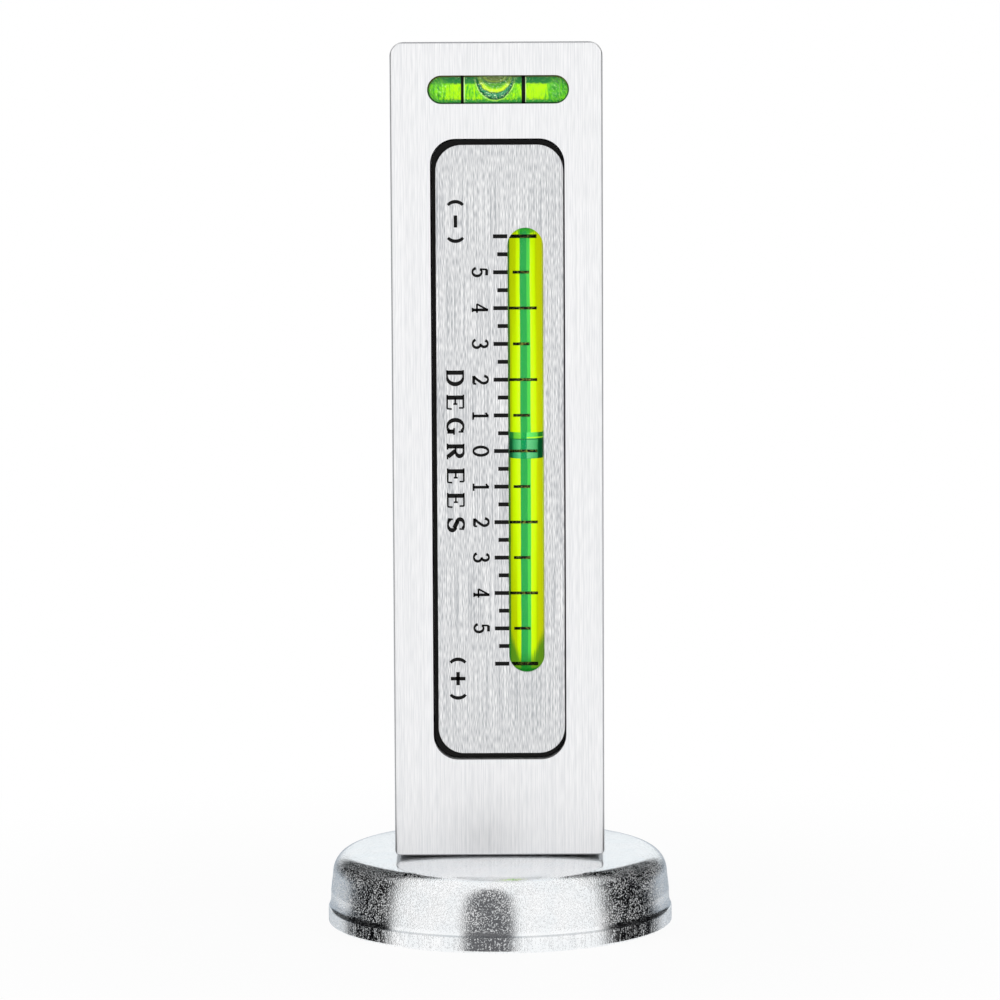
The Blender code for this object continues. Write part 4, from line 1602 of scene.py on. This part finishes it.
@dataclass
class ScalePlate:
    """The brushed plate with its window, and the degree scale printed on it."""

    corner_radius: float = 0.0037
    edge_radius: float = 0.00008
    window_width: float = 0.00505
    end_land: float = 0.0117
    ink: float = 0.00002
    tick_thickness: float = 0.00056
    long_tick: Point = (-0.00055, 0.001475)
    short_tick: Point = (0.00003, 0.001475)
    last_degree: int = 6
    numerals: Lettering = Lettering(width=0.00135, height=0.00226, thick=0.0004, thin=0.00026)
    numeral_foot: float = -0.00355
    word: Lettering = Lettering(width=0.0023, height=0.00244, thick=0.0006, thin=0.00024)
    word_foot: float = -0.00724
    word_pitch: float = 0.0035
    sign: Lettering = Lettering(width=0.0019, height=0.0021, thick=0.0005, thin=0.0002)
    sign_foot: float = -0.0069
    sign_pitch: float = 0.0026
    sign_height: float = 0.0326

    def build(self, arch: Arch) -> None:
        """Cut the plate and print its scale.

        Args:
            arch: The camber vial's arch.
        """
        plate = Box.of("scale_plate")
        size = plate.size
        blank = slab(size.x, size.z, self.corner_radius, plate.low.y, plate.high.y, self.edge_radius)
        blank = moved(blank, Vector((plate.middle.x, 0, plate.middle.z)))
        height = size.z - 2 * self.end_land
        front, back = plate.low.y - CUT_OVERRUN, plate.high.y + CUT_OVERRUN
        window = slab(self.window_width, height, self.window_width / 2, front, back, 0)
        window = moved(window, arch.crown - Vector((0, arch.crown.y, 0)))
        shape = carved(blank, [window])
        add_piece("brushed_scale_plate", shape, PLATE_FINISH, replaces=["scale_plate"])
        layer = (plate.low.y - self.ink, plate.low.y)
        self.print_ticks(arch, layer)
        self.print_numerals(arch, layer)
        self.print_words(arch, layer)

    def print_ticks(self, arch: Arch, layer: Point) -> None:
        """Print a tick at each half degree, a longer one at each whole degree.

        Args:
            arch: The camber vial's arch.
            layer: The depths of the ink's front and back.
        """
        ticks = []
        for half_degree in range(-2 * self.last_degree, 2 * self.last_degree + 1):
            left, right = self.short_tick if half_degree % 2 else self.long_tick
            tick = slab(right - left, self.tick_thickness, self.ink, *layer, 0)
            rise = half_degree / 2 * arch.per_degree
            ticks.append(moved(tick, Vector(((left + right) / 2, 0, arch.crown.z + rise))))
        add_piece("scale_ticks", merged(ticks), INK_FINISH)

    def print_numerals(self, arch: Arch, layer: Point) -> None:
        """Print the whole degrees up and down from zero, all but the last.

        Args:
            arch: The camber vial's arch.
            layer: The depths of the ink's front and back.
        """
        shapes = []
        for degree in range(1 - self.last_degree, self.last_degree):
            start = arch.crown.z + degree * arch.per_degree + self.numerals.width / 2
            shapes += self.numerals.line(str(abs(degree)), self.numeral_foot, start, 0, layer)
        add_piece("scale_numerals", merged(shapes), INK_FINISH)

    def print_words(self, arch: Arch, layer: Point) -> None:
        """Print the unit beside zero, and the sign of each half of the scale beside its end.

        Args:
            arch: The camber vial's arch.
            layer: The depths of the ink's front and back.
        """
        text = "DEGREES"
        start = arch.crown.z + ((len(text) - 1) * self.word_pitch + self.word.width) / 2
        unit = self.word.line(text, self.word_foot, start, self.word_pitch, layer)
        add_piece("scale_unit", merged(unit), INK_FINISH)
        signs = []
        half = (2 * self.sign_pitch + self.sign.width) / 2
        for text, end in (("(-)", 1), ("(+)", -1)):
            start = arch.crown.z + end * self.sign_height + half
            signs += self.sign.line(text, self.sign_foot, start, self.sign_pitch, layer)
        add_piece("scale_signs", merged(signs), INK_FINISH)


@dataclass
class CamberVial:
    """The bent vial: its wall, fluid, bubble and marks, with the plugs, reflector and carrier round it."""

    tube_radius: float = 0.0025
    wall: float = 0.00003
    fluid_gap: float = 0.00003
    bubble_gap: float = 0.000015
    bubble_edge: float = 0.0001
    bubble_edge_steps: int = 6
    mark_thickness: float = 0.00042
    end_mark_thickness: float = 0.00052
    mark_ink: float = 0.00002
    mark_steps: int = 24
    long_mark: Point = (-0.00236, 0.00162)
    short_mark: Point = (-0.00178, 0.00056)
    stations: int = 64
    sides: int = 96

    def build(self, arch: Arch) -> None:
        """Build the vial round its arch.

        Args:
            arch: The arch that its tube is bent to.
        """
        tube = Box.of("camber_vial_tube")
        half = asin((tube.size.z / 2) / (arch.radius + self.tube_radius)) * arch.radius
        self.build_tube(arch, half)
        self.build_fluid(arch)
        self.build_marks(arch)
        dress_solid("camber_vial_plug_top", PLUG_FINISH)
        dress_solid("camber_vial_plug_bottom", PLUG_FINISH)
        dress_solid("vial_reflector", WHITE_FINISH)
        dress_solid("vial_carrier", CARRIER_FINISH)
        dress_solid("plate_adhesive", FILM_FINISH)

    def build_tube(self, arch: Arch, half: float) -> None:
        """Bend the clear tube.

        Args:
            arch: The arch.
            half: Half the tube's length along the arch.
        """
        places = evenly(-half, half, self.stations)
        profile = [(self.tube_radius, place) for place in places]
        profile += [(self.tube_radius - self.wall, place) for place in reversed(places)]
        tube = arch.bent(turned(profile, self.sides))
        add_piece("camber_vial_wall", tube, TUBE_FINISH, replaces=["camber_vial_tube"])

    def build_fluid(self, arch: Arch) -> None:
        """Fill the tube, and float the bubble in it.

        Args:
            arch: The arch.
        """
        radius = self.tube_radius - self.wall - self.fluid_gap
        half = Box.of("camber_vial_fluid").size.z / 2
        places = evenly(-half, half, self.stations)
        column = [(0, -half)] + [(radius, place) for place in places] + [(0, half)]
        fluid = arch.bent(turned(column, self.sides))
        finish = CamberFluid("camber_fluid_painted_light", arch.crown, radius, self.window_half())
        add_piece("camber_fluid_column", fluid, finish, replaces=["camber_vial_fluid"])
        bubble = Box.of("camber_bubble")
        foot, top = bubble.low.z - arch.crown.z, bubble.high.z - arch.crown.z
        reach, edge = radius + self.bubble_gap, self.bubble_edge
        foot_edge = arc((reach - edge, foot + edge), (edge, edge), -90, 0, self.bubble_edge_steps)
        top_edge = arc((reach - edge, top - edge), (edge, edge), 0, 90, self.bubble_edge_steps)
        air = arch.bent(turned([(0, foot)] + foot_edge + top_edge + [(0, top)], self.sides))
        finish = CamberBubbleAir("camber_bubble_painted_light", arch.crown, reach, bubble.low.z, bubble.high.z)
        add_piece("camber_bubble_body", air, finish, Body.CAMBER_BUBBLE, ["camber_bubble"])

    @staticmethod
    def window_half() -> float:
        """Give half the length of the plate's window."""
        return Box.of("scale_plate").size.z / 2 - ScalePlate.end_land

    def build_marks(self, arch: Arch) -> None:
        """Print a mark on the tube at each degree, in line with the plate's tick as the reader sees it.

        Args:
            arch: The arch.
        """
        marks = []
        last = ScalePlate.last_degree
        face = Box.of("scale_plate").low.y
        for degree in range(-last, last + 1):
            left, right = self.short_mark if degree % 2 else self.long_mark
            thickness = self.end_mark_thickness if abs(degree) == last else self.mark_thickness
            tick = arch.crown.z + degree * arch.per_degree
            turns = evenly(asin(left / self.tube_radius), asin(right / self.tube_radius), self.mark_steps)
            rings = [self.mark_section(arch, face, tick, turn, thickness) for turn in turns]
            marks.append(lofted(rings))
        add_piece("camber_vial_marks", merged(marks), TUBE_INK_FINISH)

    def mark_section(
        self, arch: Arch, face: float, tick: float, turn: float, thickness: float
    ) -> Ring:
        """Cut through a mark on the tube.

        Args:
            arch: The arch.
            face: The depth of the plate's face.
            tick: The height of the plate's tick.
            turn: How far round the tube the cut lies, from its front.
            thickness: The mark's thickness.

        Returns:
            The section's corners.
        """
        ring = []
        for lift, side in ((0, 1), (self.mark_ink, 1), (self.mark_ink, -1), (0, -1)):
            reach = self.tube_radius + lift
            lean = asin((tick - arch.crown.z) / (arch.radius + reach))
            deep = arch.centre.y - (arch.radius + reach * cos(turn)) * cos(lean)
            drop = (deep - face) * (Studio.camera_height - tick) / (face - Studio.camera_place[1])
            up = tick - drop + side * thickness / 2
            ring.append(Vector((arch.centre.x + reach * sin(turn), deep, up)))
        return ring


@dataclass
class CrossVial:
    """The cross vial: a clear capsule with its plug, its fluid, its hanging bubble and two ring marks."""

    swell: float = 0.0001
    wall: float = 0.00004
    fluid_gap: float = 0.00003
    plug_head: float = 0.0012
    plug_gap: float = 0.00002
    marks_from_middle: Point = (-0.00505, 0.00358)
    mark_thickness: Point = (0.0004, 0.00052)
    mark_ink: float = 0.00002
    bubble_reach: Point = (0.00296, 0.0036)
    bubble_gap: float = 0.000015
    bubble_rounds: int = 24
    bubble_spokes: int = 64
    cap_steps: int = 20
    lean_steps: int = 8
    head_steps: int = 12
    sides: int = 96

    def build(self) -> None:
        """Build the vial in its slot."""
        whole = Box.of("cross_vial_tube", "cross_vial_plug")
        centre, radius, half = whole.middle, whole.size.z / 2 + self.swell, whole.size.x / 2 + self.swell
        self.build_capsule(centre, radius, half)
        inner = radius - self.wall - self.fluid_gap
        self.build_fluid(centre, inner, half - self.wall - self.fluid_gap)
        self.build_bubble(centre, inner + self.bubble_gap)
        rings = []
        for along, thickness in zip(self.marks_from_middle, self.mark_thickness):
            left, right = along - thickness / 2, along + thickness / 2
            outer = radius + self.mark_ink
            section = [(radius, left), (outer, left), (outer, right), (radius, right)]
            rings.append(laid_across(turned(section, self.sides), centre))
        add_piece("cross_vial_marks", merged(rings), INK_FINISH)
        dress_solid("cross_vial_bed", WHITE_FINISH)

    def open_capsule(self, radius: float, half: float, straight: float, lean: float) -> Outline:
        """List a capsule's profile, from its left-hand pole to where its plug starts.

        Args:
            radius: The capsule's radius.
            half: Half its length.
            straight: Half the length of its straight part, at its right.
            lean: How far round its right-hand cap the plug starts, in degrees.

        Returns:
            The points, in order.
        """
        left_cap = arc((0, -(half - radius)), (radius, radius), -90, 0, self.cap_steps)
        right_cap = arc((0, straight), (radius, radius), 0, lean, self.lean_steps)
        return left_cap + [(radius, straight)] + right_cap

    def finish(self, name: str, centre: Vector, radius: float, straight: float) -> CrossFluid:
        """Give the fluid's finish, with its painted light, which the plug wears as well."""
        marks = tuple(centre.x + along for along in self.marks_from_middle)
        return CrossFluid(name, centre, radius, straight, marks)

    def build_capsule(self, centre: Vector, radius: float, half: float) -> None:
        """Build the clear wall and the plug that closes its right-hand end.

        Args:
            centre: The capsule's middle.
            radius: Its outer radius.
            half: Half its length.
        """
        straight = half - radius
        face = half - self.plug_head
        lean = degrees(asin((face - straight) / radius))
        outer = self.open_capsule(radius, half, straight, lean)
        inner = self.open_capsule(radius - self.wall, half - self.wall, straight, lean)
        wall = [(0, -half)] + outer[1:] + list(reversed(inner[1:])) + [(0, -half + self.wall)]
        capsule = laid_across(turned(wall, self.sides), centre)
        add_piece("cross_vial_wall", capsule, TUBE_FINISH, replaces=["cross_vial_tube"])
        finish = self.finish("cross_plug_painted_light", centre, radius, straight)
        start = degrees(asin((face + self.plug_gap - straight) / radius))
        head = arc((0, straight), (radius, radius), start, 90, self.head_steps)
        plug = laid_across(turned([(0, face + self.plug_gap)] + head, self.sides), centre)
        add_piece("cross_vial_end_plug", plug, finish, replaces=["cross_vial_plug"])

    def build_fluid(self, centre: Vector, radius: float, half: float) -> None:
        """Fill the capsule as far as the plug.

        Args:
            centre: The capsule's middle.
            radius: The fluid's radius.
            half: Half the length that it would have without the plug.
        """
        straight = half - radius
        face = half - self.plug_head
        lean = degrees(asin((face - straight) / radius))
        profile = self.open_capsule(radius, half, straight, lean) + [(0, face)]
        finish = self.finish("cross_fluid_painted_light", centre, radius, straight)
        fluid = laid_across(turned(profile, self.sides), centre)
        add_piece("cross_fluid_body", fluid, finish, replaces=["cross_vial_fluid"])

    def build_bubble(self, centre: Vector, radius: float) -> None:
        """Hang the bubble from the top of the capsule, a half oval seen from the front.

        Args:
            centre: The capsule's middle.
            radius: The bubble's reach from the capsule's axis.
        """
        bubble = Box.of("cross_bubble")
        top = centre + Vector((bubble.middle.x - centre.x, 0, radius))
        shape = bmesh.new()
        for front in (True, False):
            rows = []
            for share in evenly(0, 1, self.bubble_rounds):
                row = []
                for side, drop in arc((0, 0), self.bubble_reach, 180, 360, self.bubble_spokes):
                    up = max(top.z + drop * share, centre.z - radius)
                    across = top.x + side * share
                    deep = -sqrt(max(radius**2 - (up - centre.z) ** 2, 0))
                    if not front:
                        deep *= 2 * share**2 - 1
                    row.append(shape.verts.new((across, centre.y + deep, up)))
                rows.append(row)
            for inner, outer in pairwise(rows):
                for (first, second), (third, fourth) in zip(pairwise(inner), pairwise(outer)):
                    shape.faces.new((first, second, fourth, third))
        finish = CrossBubbleAir("cross_bubble_painted_light", top, radius, self.bubble_reach)
        add_piece("cross_bubble_body", tidied(shape), finish, Body.CROSS_BUBBLE, ["cross_bubble"])


@dataclass
class Base:
    """The pot magnet: a pressed cup with the magnet, its potting, the pole core and the clamping screw."""

    seat_radius: float = 0.0095
    seat_step: float = 0.0002
    dome_drop: float = 0.0006
    shoulder_radius: float = 0.0033
    wall: float = 0.0020
    skirt_lean: float = 0.0003
    flare_height: float = 0.0048
    flare_reach: float = 0.0003
    rim_height: float = 0.0022
    rim_step: float = 0.0001
    crease: float = 0.00025
    rim_chamfer: float = 0.0003
    hole_radius: float = 0.0033
    magnet_chamfer: float = 0.0006
    pole_chamfer: float = 0.0004
    screw_radius: float = 0.0030
    screw_rim: float = 0.0003
    screw_tip: float = 0.0006
    socket_flats: float = 0.0040
    socket_depth: float = 0.0023
    socket_corners: int = 6
    seat_gap: float = 0.0003
    resin_steps: int = 8
    dome_steps: int = 20
    screw_sides: int = 96
    sides: int = 256

    def build(self) -> None:
        """Build the base from the cup inwards."""
        self.build_cup()
        self.build_magnet()
        self.build_pole()
        self.build_screw()

    def turn(self, name: str, profile: Outline, finish: Finish, slot: Slot, node: str) -> None:
        """Turn a piece about the base's axis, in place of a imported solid."""
        add_piece(name, turned(profile, self.sides), finish, replaces=[node])

    @staticmethod
    def skirt_radius() -> float:
        """Give the radius at the foot of the cup's skirt."""
        return Box.of("base_cup").size.x / 2 - Base.rim_step - Base.flare_reach

    def crown(self, height: float, skirt: float, inset: float) -> Outline:
        """List the points of the cup's top and shoulder, where the one runs into the other.

        Args:
            height: The height of the cup's top.
            skirt: The radius of its skirt.
            inset: How far inside the cup's outer face the points lie.

        Returns:
            The points, from the hole outwards.
        """
        slope = 2 * self.dome_drop / (skirt - self.shoulder_radius - self.seat_radius)
        shoulder = skirt - self.shoulder_radius
        dome = shoulder + self.shoulder_radius * slope
        seat = self.seat_radius
        points = [(self.hole_radius, height - inset), (seat - self.seat_step, height - inset)]
        for share in evenly(0, 1, self.dome_steps):
            drop = self.dome_drop * share**2
            points.append((seat + share * (dome - seat), height - drop - inset))
        centre = (shoulder, height - self.dome_drop - self.shoulder_radius * cos(slope))
        reach = self.shoulder_radius - inset
        return points + arc(centre, (reach, reach), 90 - degrees(slope), 0, self.dome_steps)[1:]

    def build_cup(self) -> None:
        """Press the cup."""
        cup = Box.of("base_cup")
        height, rim_radius = cup.high.z, cup.size.x / 2
        skirt = self.skirt_radius()
        bore = skirt - self.skirt_lean - self.wall
        start = self.rim_height + self.crease
        flare = [
            (skirt + self.flare_reach * share**4, self.flare_height - share * (self.flare_height - start))
            for share in evenly(0, 1, self.dome_steps)
        ]
        rim = [
            (rim_radius - 2 * self.rim_step, start - self.crease / 2),
            (rim_radius, self.rim_height),
            (rim_radius, self.rim_chamfer),
            (rim_radius - self.rim_chamfer, 0),
            (bore + self.rim_chamfer, 0),
            (bore, self.rim_chamfer),
        ]
        outer = self.crown(height, skirt - self.skirt_lean, 0)
        inner = self.crown(height, skirt - self.skirt_lean, self.wall)
        profile = outer + flare + rim + list(reversed(inner))
        self.turn("plated_cup", profile, CUP_FINISH, Slot.STEEL, "base_cup")

    def build_magnet(self) -> None:
        """Fit the ferrite ring and the resin round it."""
        magnet = Box.of("ring_magnet")
        outer = magnet.size.x / 2
        pole = Box.of("pole_core").size.x / 2
        ring = Box.of("potting_ring_inner").size.x / 2
        inner = ring + self.seat_gap
        low, high, chamfer = magnet.low.z, magnet.high.z, self.magnet_chamfer
        profile = [
            (inner, low + chamfer), (inner + chamfer, low), (outer - chamfer, low), (outer, low + chamfer),
            (outer, high), (inner, high),
        ]
        self.turn("ferrite_ring", profile, FERRITE_FINISH, Slot.FERRITE, "ring_magnet")
        edges = {
            "potting_ring_outer": (outer + self.seat_gap, Box.of("potting_ring_outer").size.x / 2),
            "potting_ring_inner": (pole + self.seat_gap, ring),
        }
        for node, (left, right) in edges.items():
            low, high = Box.of(node).low.z, Box.of(node).high.z
            width, sag = right - left, (right - left) / 4
            shares = evenly(0, 1, self.resin_steps)
            foot = [(left + width * share, low + sag * sin(pi * share)) for share in shares]
            profile = foot + [(right, high), (left, high)]
            self.turn(node.replace("potting", "resin"), profile, RESIN_FINISH, Slot.RESIN, node)

    def build_pole(self) -> None:
        """Turn the pole core, countersunk for the screw."""
        pole = Box.of("pole_core")
        screw = Box.of("base_screw")
        low, high, radius = pole.low.z, pole.high.z, pole.size.x / 2
        sink = screw.size.x / 2 + self.seat_gap * sqrt(2) + screw.low.z + self.screw_rim - low
        profile = [
            (self.hole_radius, low + sink - self.hole_radius), (sink, low), (radius - self.pole_chamfer, low),
            (radius, low + self.pole_chamfer), (radius, high), (self.hole_radius, high),
        ]
        self.turn("turned_pole_core", profile, STEEL_FINISH, Slot.STEEL, "pole_core")

    def build_screw(self) -> None:
        """Turn the countersunk screw and sink its hexagon socket."""
        screw = Box.of("base_screw")
        foot, tip, head = screw.low.z, screw.high.z, screw.size.x / 2
        cone = foot + self.screw_rim
        profile = [
            (0, foot), (head, foot), (head, cone), (self.screw_radius, cone + head - self.screw_radius),
            (self.screw_radius, tip - self.screw_tip), (self.screw_radius - self.screw_tip, tip), (0, tip),
        ]
        corner = self.socket_flats / 2 / cos(pi / self.socket_corners)
        hexagon = arc((0, 0), (corner, corner), 0, 360, self.socket_corners)[:-1]
        rings = [
            [Vector((across, deep, height)) for across, deep in hexagon]
            for height in (foot - CUT_OVERRUN, foot + self.socket_depth)
        ]
        shape = carved(turned(profile, self.screw_sides), [lofted(rings)])
        add_piece("clamping_screw", shape, STEEL_FINISH, replaces=["base_screw"])


@dataclass
class Studio:
    """The camera at the photograph's angle, a pale floor, a white room with dark sides, lamps and cards."""

    camera_place: Point = (0.00026, -0.607391)
    camera_height: float = 0.121194
    camera_pitch: float = 0.0981
    camera_roll: float = -0.0049
    focal_pixels: float = 4222.5
    picture_pixels: float = 1000
    sensor_width: float = 36.0
    nearest: float = 0.01
    floor_rings: Triple = (0.05, 0.2, 3.0)
    floor_sides: int = 64
    floor_drop: float = 0.00005
    floor_grain: Triple = (400, 400, 400)
    shadow_share: float = 0.07
    shadow_reach: Point = (0.03, 0.14)
    room_light: float = 0.5
    side_middles: Point = (-117, 115)
    side_reach: Point = (39, 58)
    side_edge: Point = (1.15, 0.85)
    side_lean: float = 0.25
    side_level: float = 0.04
    side_foot: Point = (-4, 1)
    back_band: Point = (43, 64)
    back_fade: float = 2
    back_turn: Point = (110, 135)
    back_level: float = 0.02
    low_band: Point = (-10, 0)
    low_fade: float = 4
    low_turn: Point = (112, 128)
    low_tint: Colour = tint(176, 185, 194)
    back_tint: Colour = tint(245, 249, 251)
    lamp_distance: float = 1.1
    lamp_height: float = 0.35
    lamp_size: Point = (0.75, 1.3)
    lamp_turn: float = 44
    lamp_radiance: float = 1.3
    lamp_aim: Triple = (0, 0, 0.06)
    top_place: Triple = (0, 0.1, 1.0)
    top_size: Point = (0.9, 0.9)
    top_radiance: float = 0.6
    card_radius: float = 0.0275
    card_thickness: float = 0.0002
    card_steps: int = 16
    card_low: float = -0.006
    card_lean: float = 0.2
    cards: tuple[tuple[Point, Point, float, int], ...] = (
        ((-0.9, -0.585), (-2.4, 0.0), 0.0145, 10),
        ((-0.25, 0.12), (0.5, -0.5), 0.0155, 100),
        ((0.545, 0.925), (0.0, 2.4), 0.0145, 10),
    )

    def build(self) -> None:
        """Set the studio up."""
        bpy.context.scene.view_settings.view_transform = "Standard"
        self.place_camera()
        self.lay_floor()
        self.paint_room()
        for number, side in enumerate((-1, 1), 1):
            turn = radians(side * self.lamp_turn)
            place = Vector((sin(turn), -cos(turn), 0)) * self.lamp_distance
            place += Vector((0, 0, self.lamp_height))
            self.hang_lamp(f"soft_box_{number}", place, self.lamp_size, self.lamp_radiance)
        self.hang_lamp("top_box", Vector(self.top_place), self.top_size, self.top_radiance)
        for number, card in enumerate(self.cards, 1):
            self.stand_card(f"dark_card_{number}", *card)

    def place_camera(self) -> None:
        """Place the camera as it was fitted to the photograph."""
        data = bpy.data.cameras.new("photo_camera")
        data.sensor_width = self.sensor_width
        data.lens = self.focal_pixels * self.sensor_width / self.picture_pixels
        data.clip_start = self.nearest
        camera = bpy.data.objects.new("photo_camera", data)
        ahead = Vector((0, cos(self.camera_pitch), -sin(self.camera_pitch)))
        right = Vector((1, 0, 0))
        up = right.cross(ahead)
        lean, rest = sin(self.camera_roll), cos(self.camera_roll)
        columns = (right * rest + up * lean, up * rest - right * lean, -ahead)
        turned_by = Matrix(columns).transposed().to_4x4()
        camera.matrix_world = Matrix.Translation((*self.camera_place, self.camera_height)) @ turned_by
        bpy.context.scene.collection.objects.link(camera)
        bpy.context.scene.camera = camera

    def lay_floor(self) -> None:
        """Lay a pale floor that is white but for the gauge's soft shadow."""
        turns = evenly(0, 2 * pi, self.floor_sides)[:-1]
        shape = bmesh.new()
        rows = [
            [
                shape.verts.new(Vector((radius * cos(turn), radius * sin(turn), -self.floor_drop)))
                for turn in turns
            ]
            for radius in self.floor_rings
        ]
        shape.faces.new(rows[0])
        for inner, outer in pairwise(rows):
            for number in range(len(inner)):
                after = (number + 1) % len(inner)
                shape.faces.new((inner[number], outer[number], outer[after], inner[after]))
        mesh = bpy.data.meshes.new("pale_floor")
        shape.to_mesh(mesh)
        shape.free()
        mesh.materials.append(self.floor_paint())
        floor = bpy.data.objects.new("pale_floor", mesh)
        floor.visible_glossy = False
        bpy.context.scene.collection.objects.link(floor)

    def floor_paint(self) -> bpy.types.Material:
        """Mix paper that takes the shadow with a white glow that grows away from the gauge.

        Returns:
            The floor's material.
        """
        material = bpy.data.materials.new("floor_white")
        material.use_nodes = True
        graph = Graph(material.node_tree)
        across, deep, _ = graph.parts(graph.place())
        distance = (across * across + deep * deep) ** 0.5
        grain = graph.noise(graph.scaled(graph.place(), self.floor_grain))
        colour = graph.mixed(grain, tint(236, 236, 236), tint(240, 240, 240))
        paper = graph.principled({"Base Color": colour, "Roughness": 0.9})
        glow = graph.add("ShaderNodeEmission", {}, {0: PURE_WHITE, 1: 1.0})
        share = (1 - self.shadow_share) + distance.rise(*self.shadow_reach) * self.shadow_share
        inputs = {0: share, 1: paper, 2: Socket(graph, glow.outputs[0])}
        both = graph.add("ShaderNodeMixShader", {}, inputs)
        graph.surface(Socket(graph, both.outputs[0]))
        return material

    def paint_room(self) -> None:
        """Light the room evenly, with a white background, and give the metal dark sides to mirror."""
        world = bpy.data.worlds.new("white_room")
        world.use_nodes = True
        graph = Graph(world.node_tree)
        ray = graph.add("ShaderNodeLightPath", {}, {}).outputs
        camera, glossy, through = (
            Socket(graph, ray[name]) for name in ("Is Camera Ray", "Is Glossy Ray", "Is Transmission Ray")
        )
        way = Socket(graph, graph.add("ShaderNodeTexCoord", {}, {}).outputs["Generated"])
        across, deep, up = graph.parts(way)
        azimuth = across.turn_about(0.0 - deep) * degrees(1)
        height = up.arcsine() * degrees(1)
        shade = height.rise(*self.side_foot)
        left, right = (self.side_arch(azimuth, height, middle) for middle in self.side_middles)
        sides = left.larger(right) * shade
        low, high, fade = *self.back_band, self.back_fade
        band = abs(azimuth).rise(*self.back_turn)
        band = band * height.rise(low - fade, low + fade) * height.rise(high + fade, high - fade)
        level = (1 - sides * (1 - self.side_level)) * (1 - band * (1 - self.back_level))
        seen = camera.larger(through)
        rest = (1 - seen.larger(glossy)) * self.room_light
        low, high, fade = *self.low_band, self.low_fade
        behind = glossy * abs(azimuth).rise(*self.low_turn)
        colour = graph.mixed(behind * height.rise(0, fade), PURE_WHITE, self.back_tint)
        behind = behind * height.rise(low - fade, low) * height.rise(high + fade, high)
        colour = graph.mixed(behind, colour, self.low_tint)
        strength = seen.larger(glossy * level).larger(rest)
        background = graph.add("ShaderNodeBackground", {}, {0: colour, 1: strength})
        graph.add("ShaderNodeOutputWorld", {}, {0: Socket(graph, background.outputs[0])})
        bpy.context.scene.world = world

    def side_arch(self, azimuth: Socket, height: Socket, middle: float) -> Socket:
        """Find a dark side of the room, an arch that leans outwards.

        Args:
            azimuth: The direction's turn from the front, in degrees.
            height: Its height over the horizon, in degrees.
            middle: The turn of the arch's middle at its foot, in degrees.

        Returns:
            1 in the arch and 0 outside it.
        """
        side = azimuth - middle - height * (self.side_lean if middle > 0 else -self.side_lean)
        far = (side / self.side_reach[0]) ** 2.0 + (height / self.side_reach[1]) ** 4.0
        return far.rise(*self.side_edge)

    def hang_lamp(self, name: str, place: Vector, size: Point, radiance: float) -> None:
        """Hang a soft lamp that faces the gauge.

        Args:
            name: The lamp's name.
            place: Where it hangs.
            size: Its width and height.
            radiance: How bright its face is, 1 for white.
        """
        data = bpy.data.lights.new(name, "AREA")
        data.shape = "RECTANGLE"
        data.size, data.size_y = size
        data.energy = radiance * pi * size[0] * size[1]
        lamp = bpy.data.objects.new(name, data)
        lamp.location = place
        lamp.rotation_euler = (Vector(self.lamp_aim) - place).to_track_quat("-Z", "Y").to_euler()
        lamp.visible_glossy = False
        bpy.context.scene.collection.objects.link(lamp)

    def stand_card(self, name: str, shares: Point, leans: Point, top: float, grey: int) -> None:
        """Stand a small dark card with fading edges by the base, which only its plating mirrors.

        Args:
            name: The card's name.
            shares: Where its sides show on the base, in shares of the base's radius from its middle.
            leans: How far each side leans to the right at its top, as a multiple of the cards' lean.
            top: The height of its top.
            grey: Its display grey, 0 to 255.
        """
        skirt = Base.skirt_radius() / self.card_radius
        left, right = (2 * asin(share) - asin(skirt * share) for share in shares)
        leans = tuple(lean * self.card_lean for lean in leans)
        back = self.card_thickness
        rings = []
        for turn in evenly(min(left, left + leans[0]), max(right, right + leans[1]), self.card_steps):
            ring = []
            for reach, height in ((0, self.card_low), (back, self.card_low), (back, top), (0, top)):
                far = self.card_radius + reach
                ring.append(Vector((far * sin(turn), -far * cos(turn), height)))
            rings.append(ring)
        mesh = bpy.data.meshes.new(name)
        shape = lofted(rings)
        shape.to_mesh(mesh)
        shape.free()
        finish = FadingCard(f"{name}_paint", tint(grey, grey, grey + 2), (left, right), leans, top)
        mesh.materials.append(finish.material())
        card = bpy.data.objects.new(name, mesh)
        for ray in ("camera", "diffuse", "transmission", "shadow", "volume_scatter"):
            setattr(card, f"visible_{ray}", False)
        bpy.context.scene.collection.objects.link(card)


def main() -> None:
    """Build the studio and the gauge, from the bar to its base."""
    logging.basicConfig(level=logging.INFO, format="%(message)s")
    arch = Arch.measured(CamberVial.tube_radius)
    Studio().build()
    Bar().build()
    ScalePlate().build(arch)
    CamberVial().build(arch)
    CrossVial().build()
    Base().build()


if __name__ == "__main__":
    main()
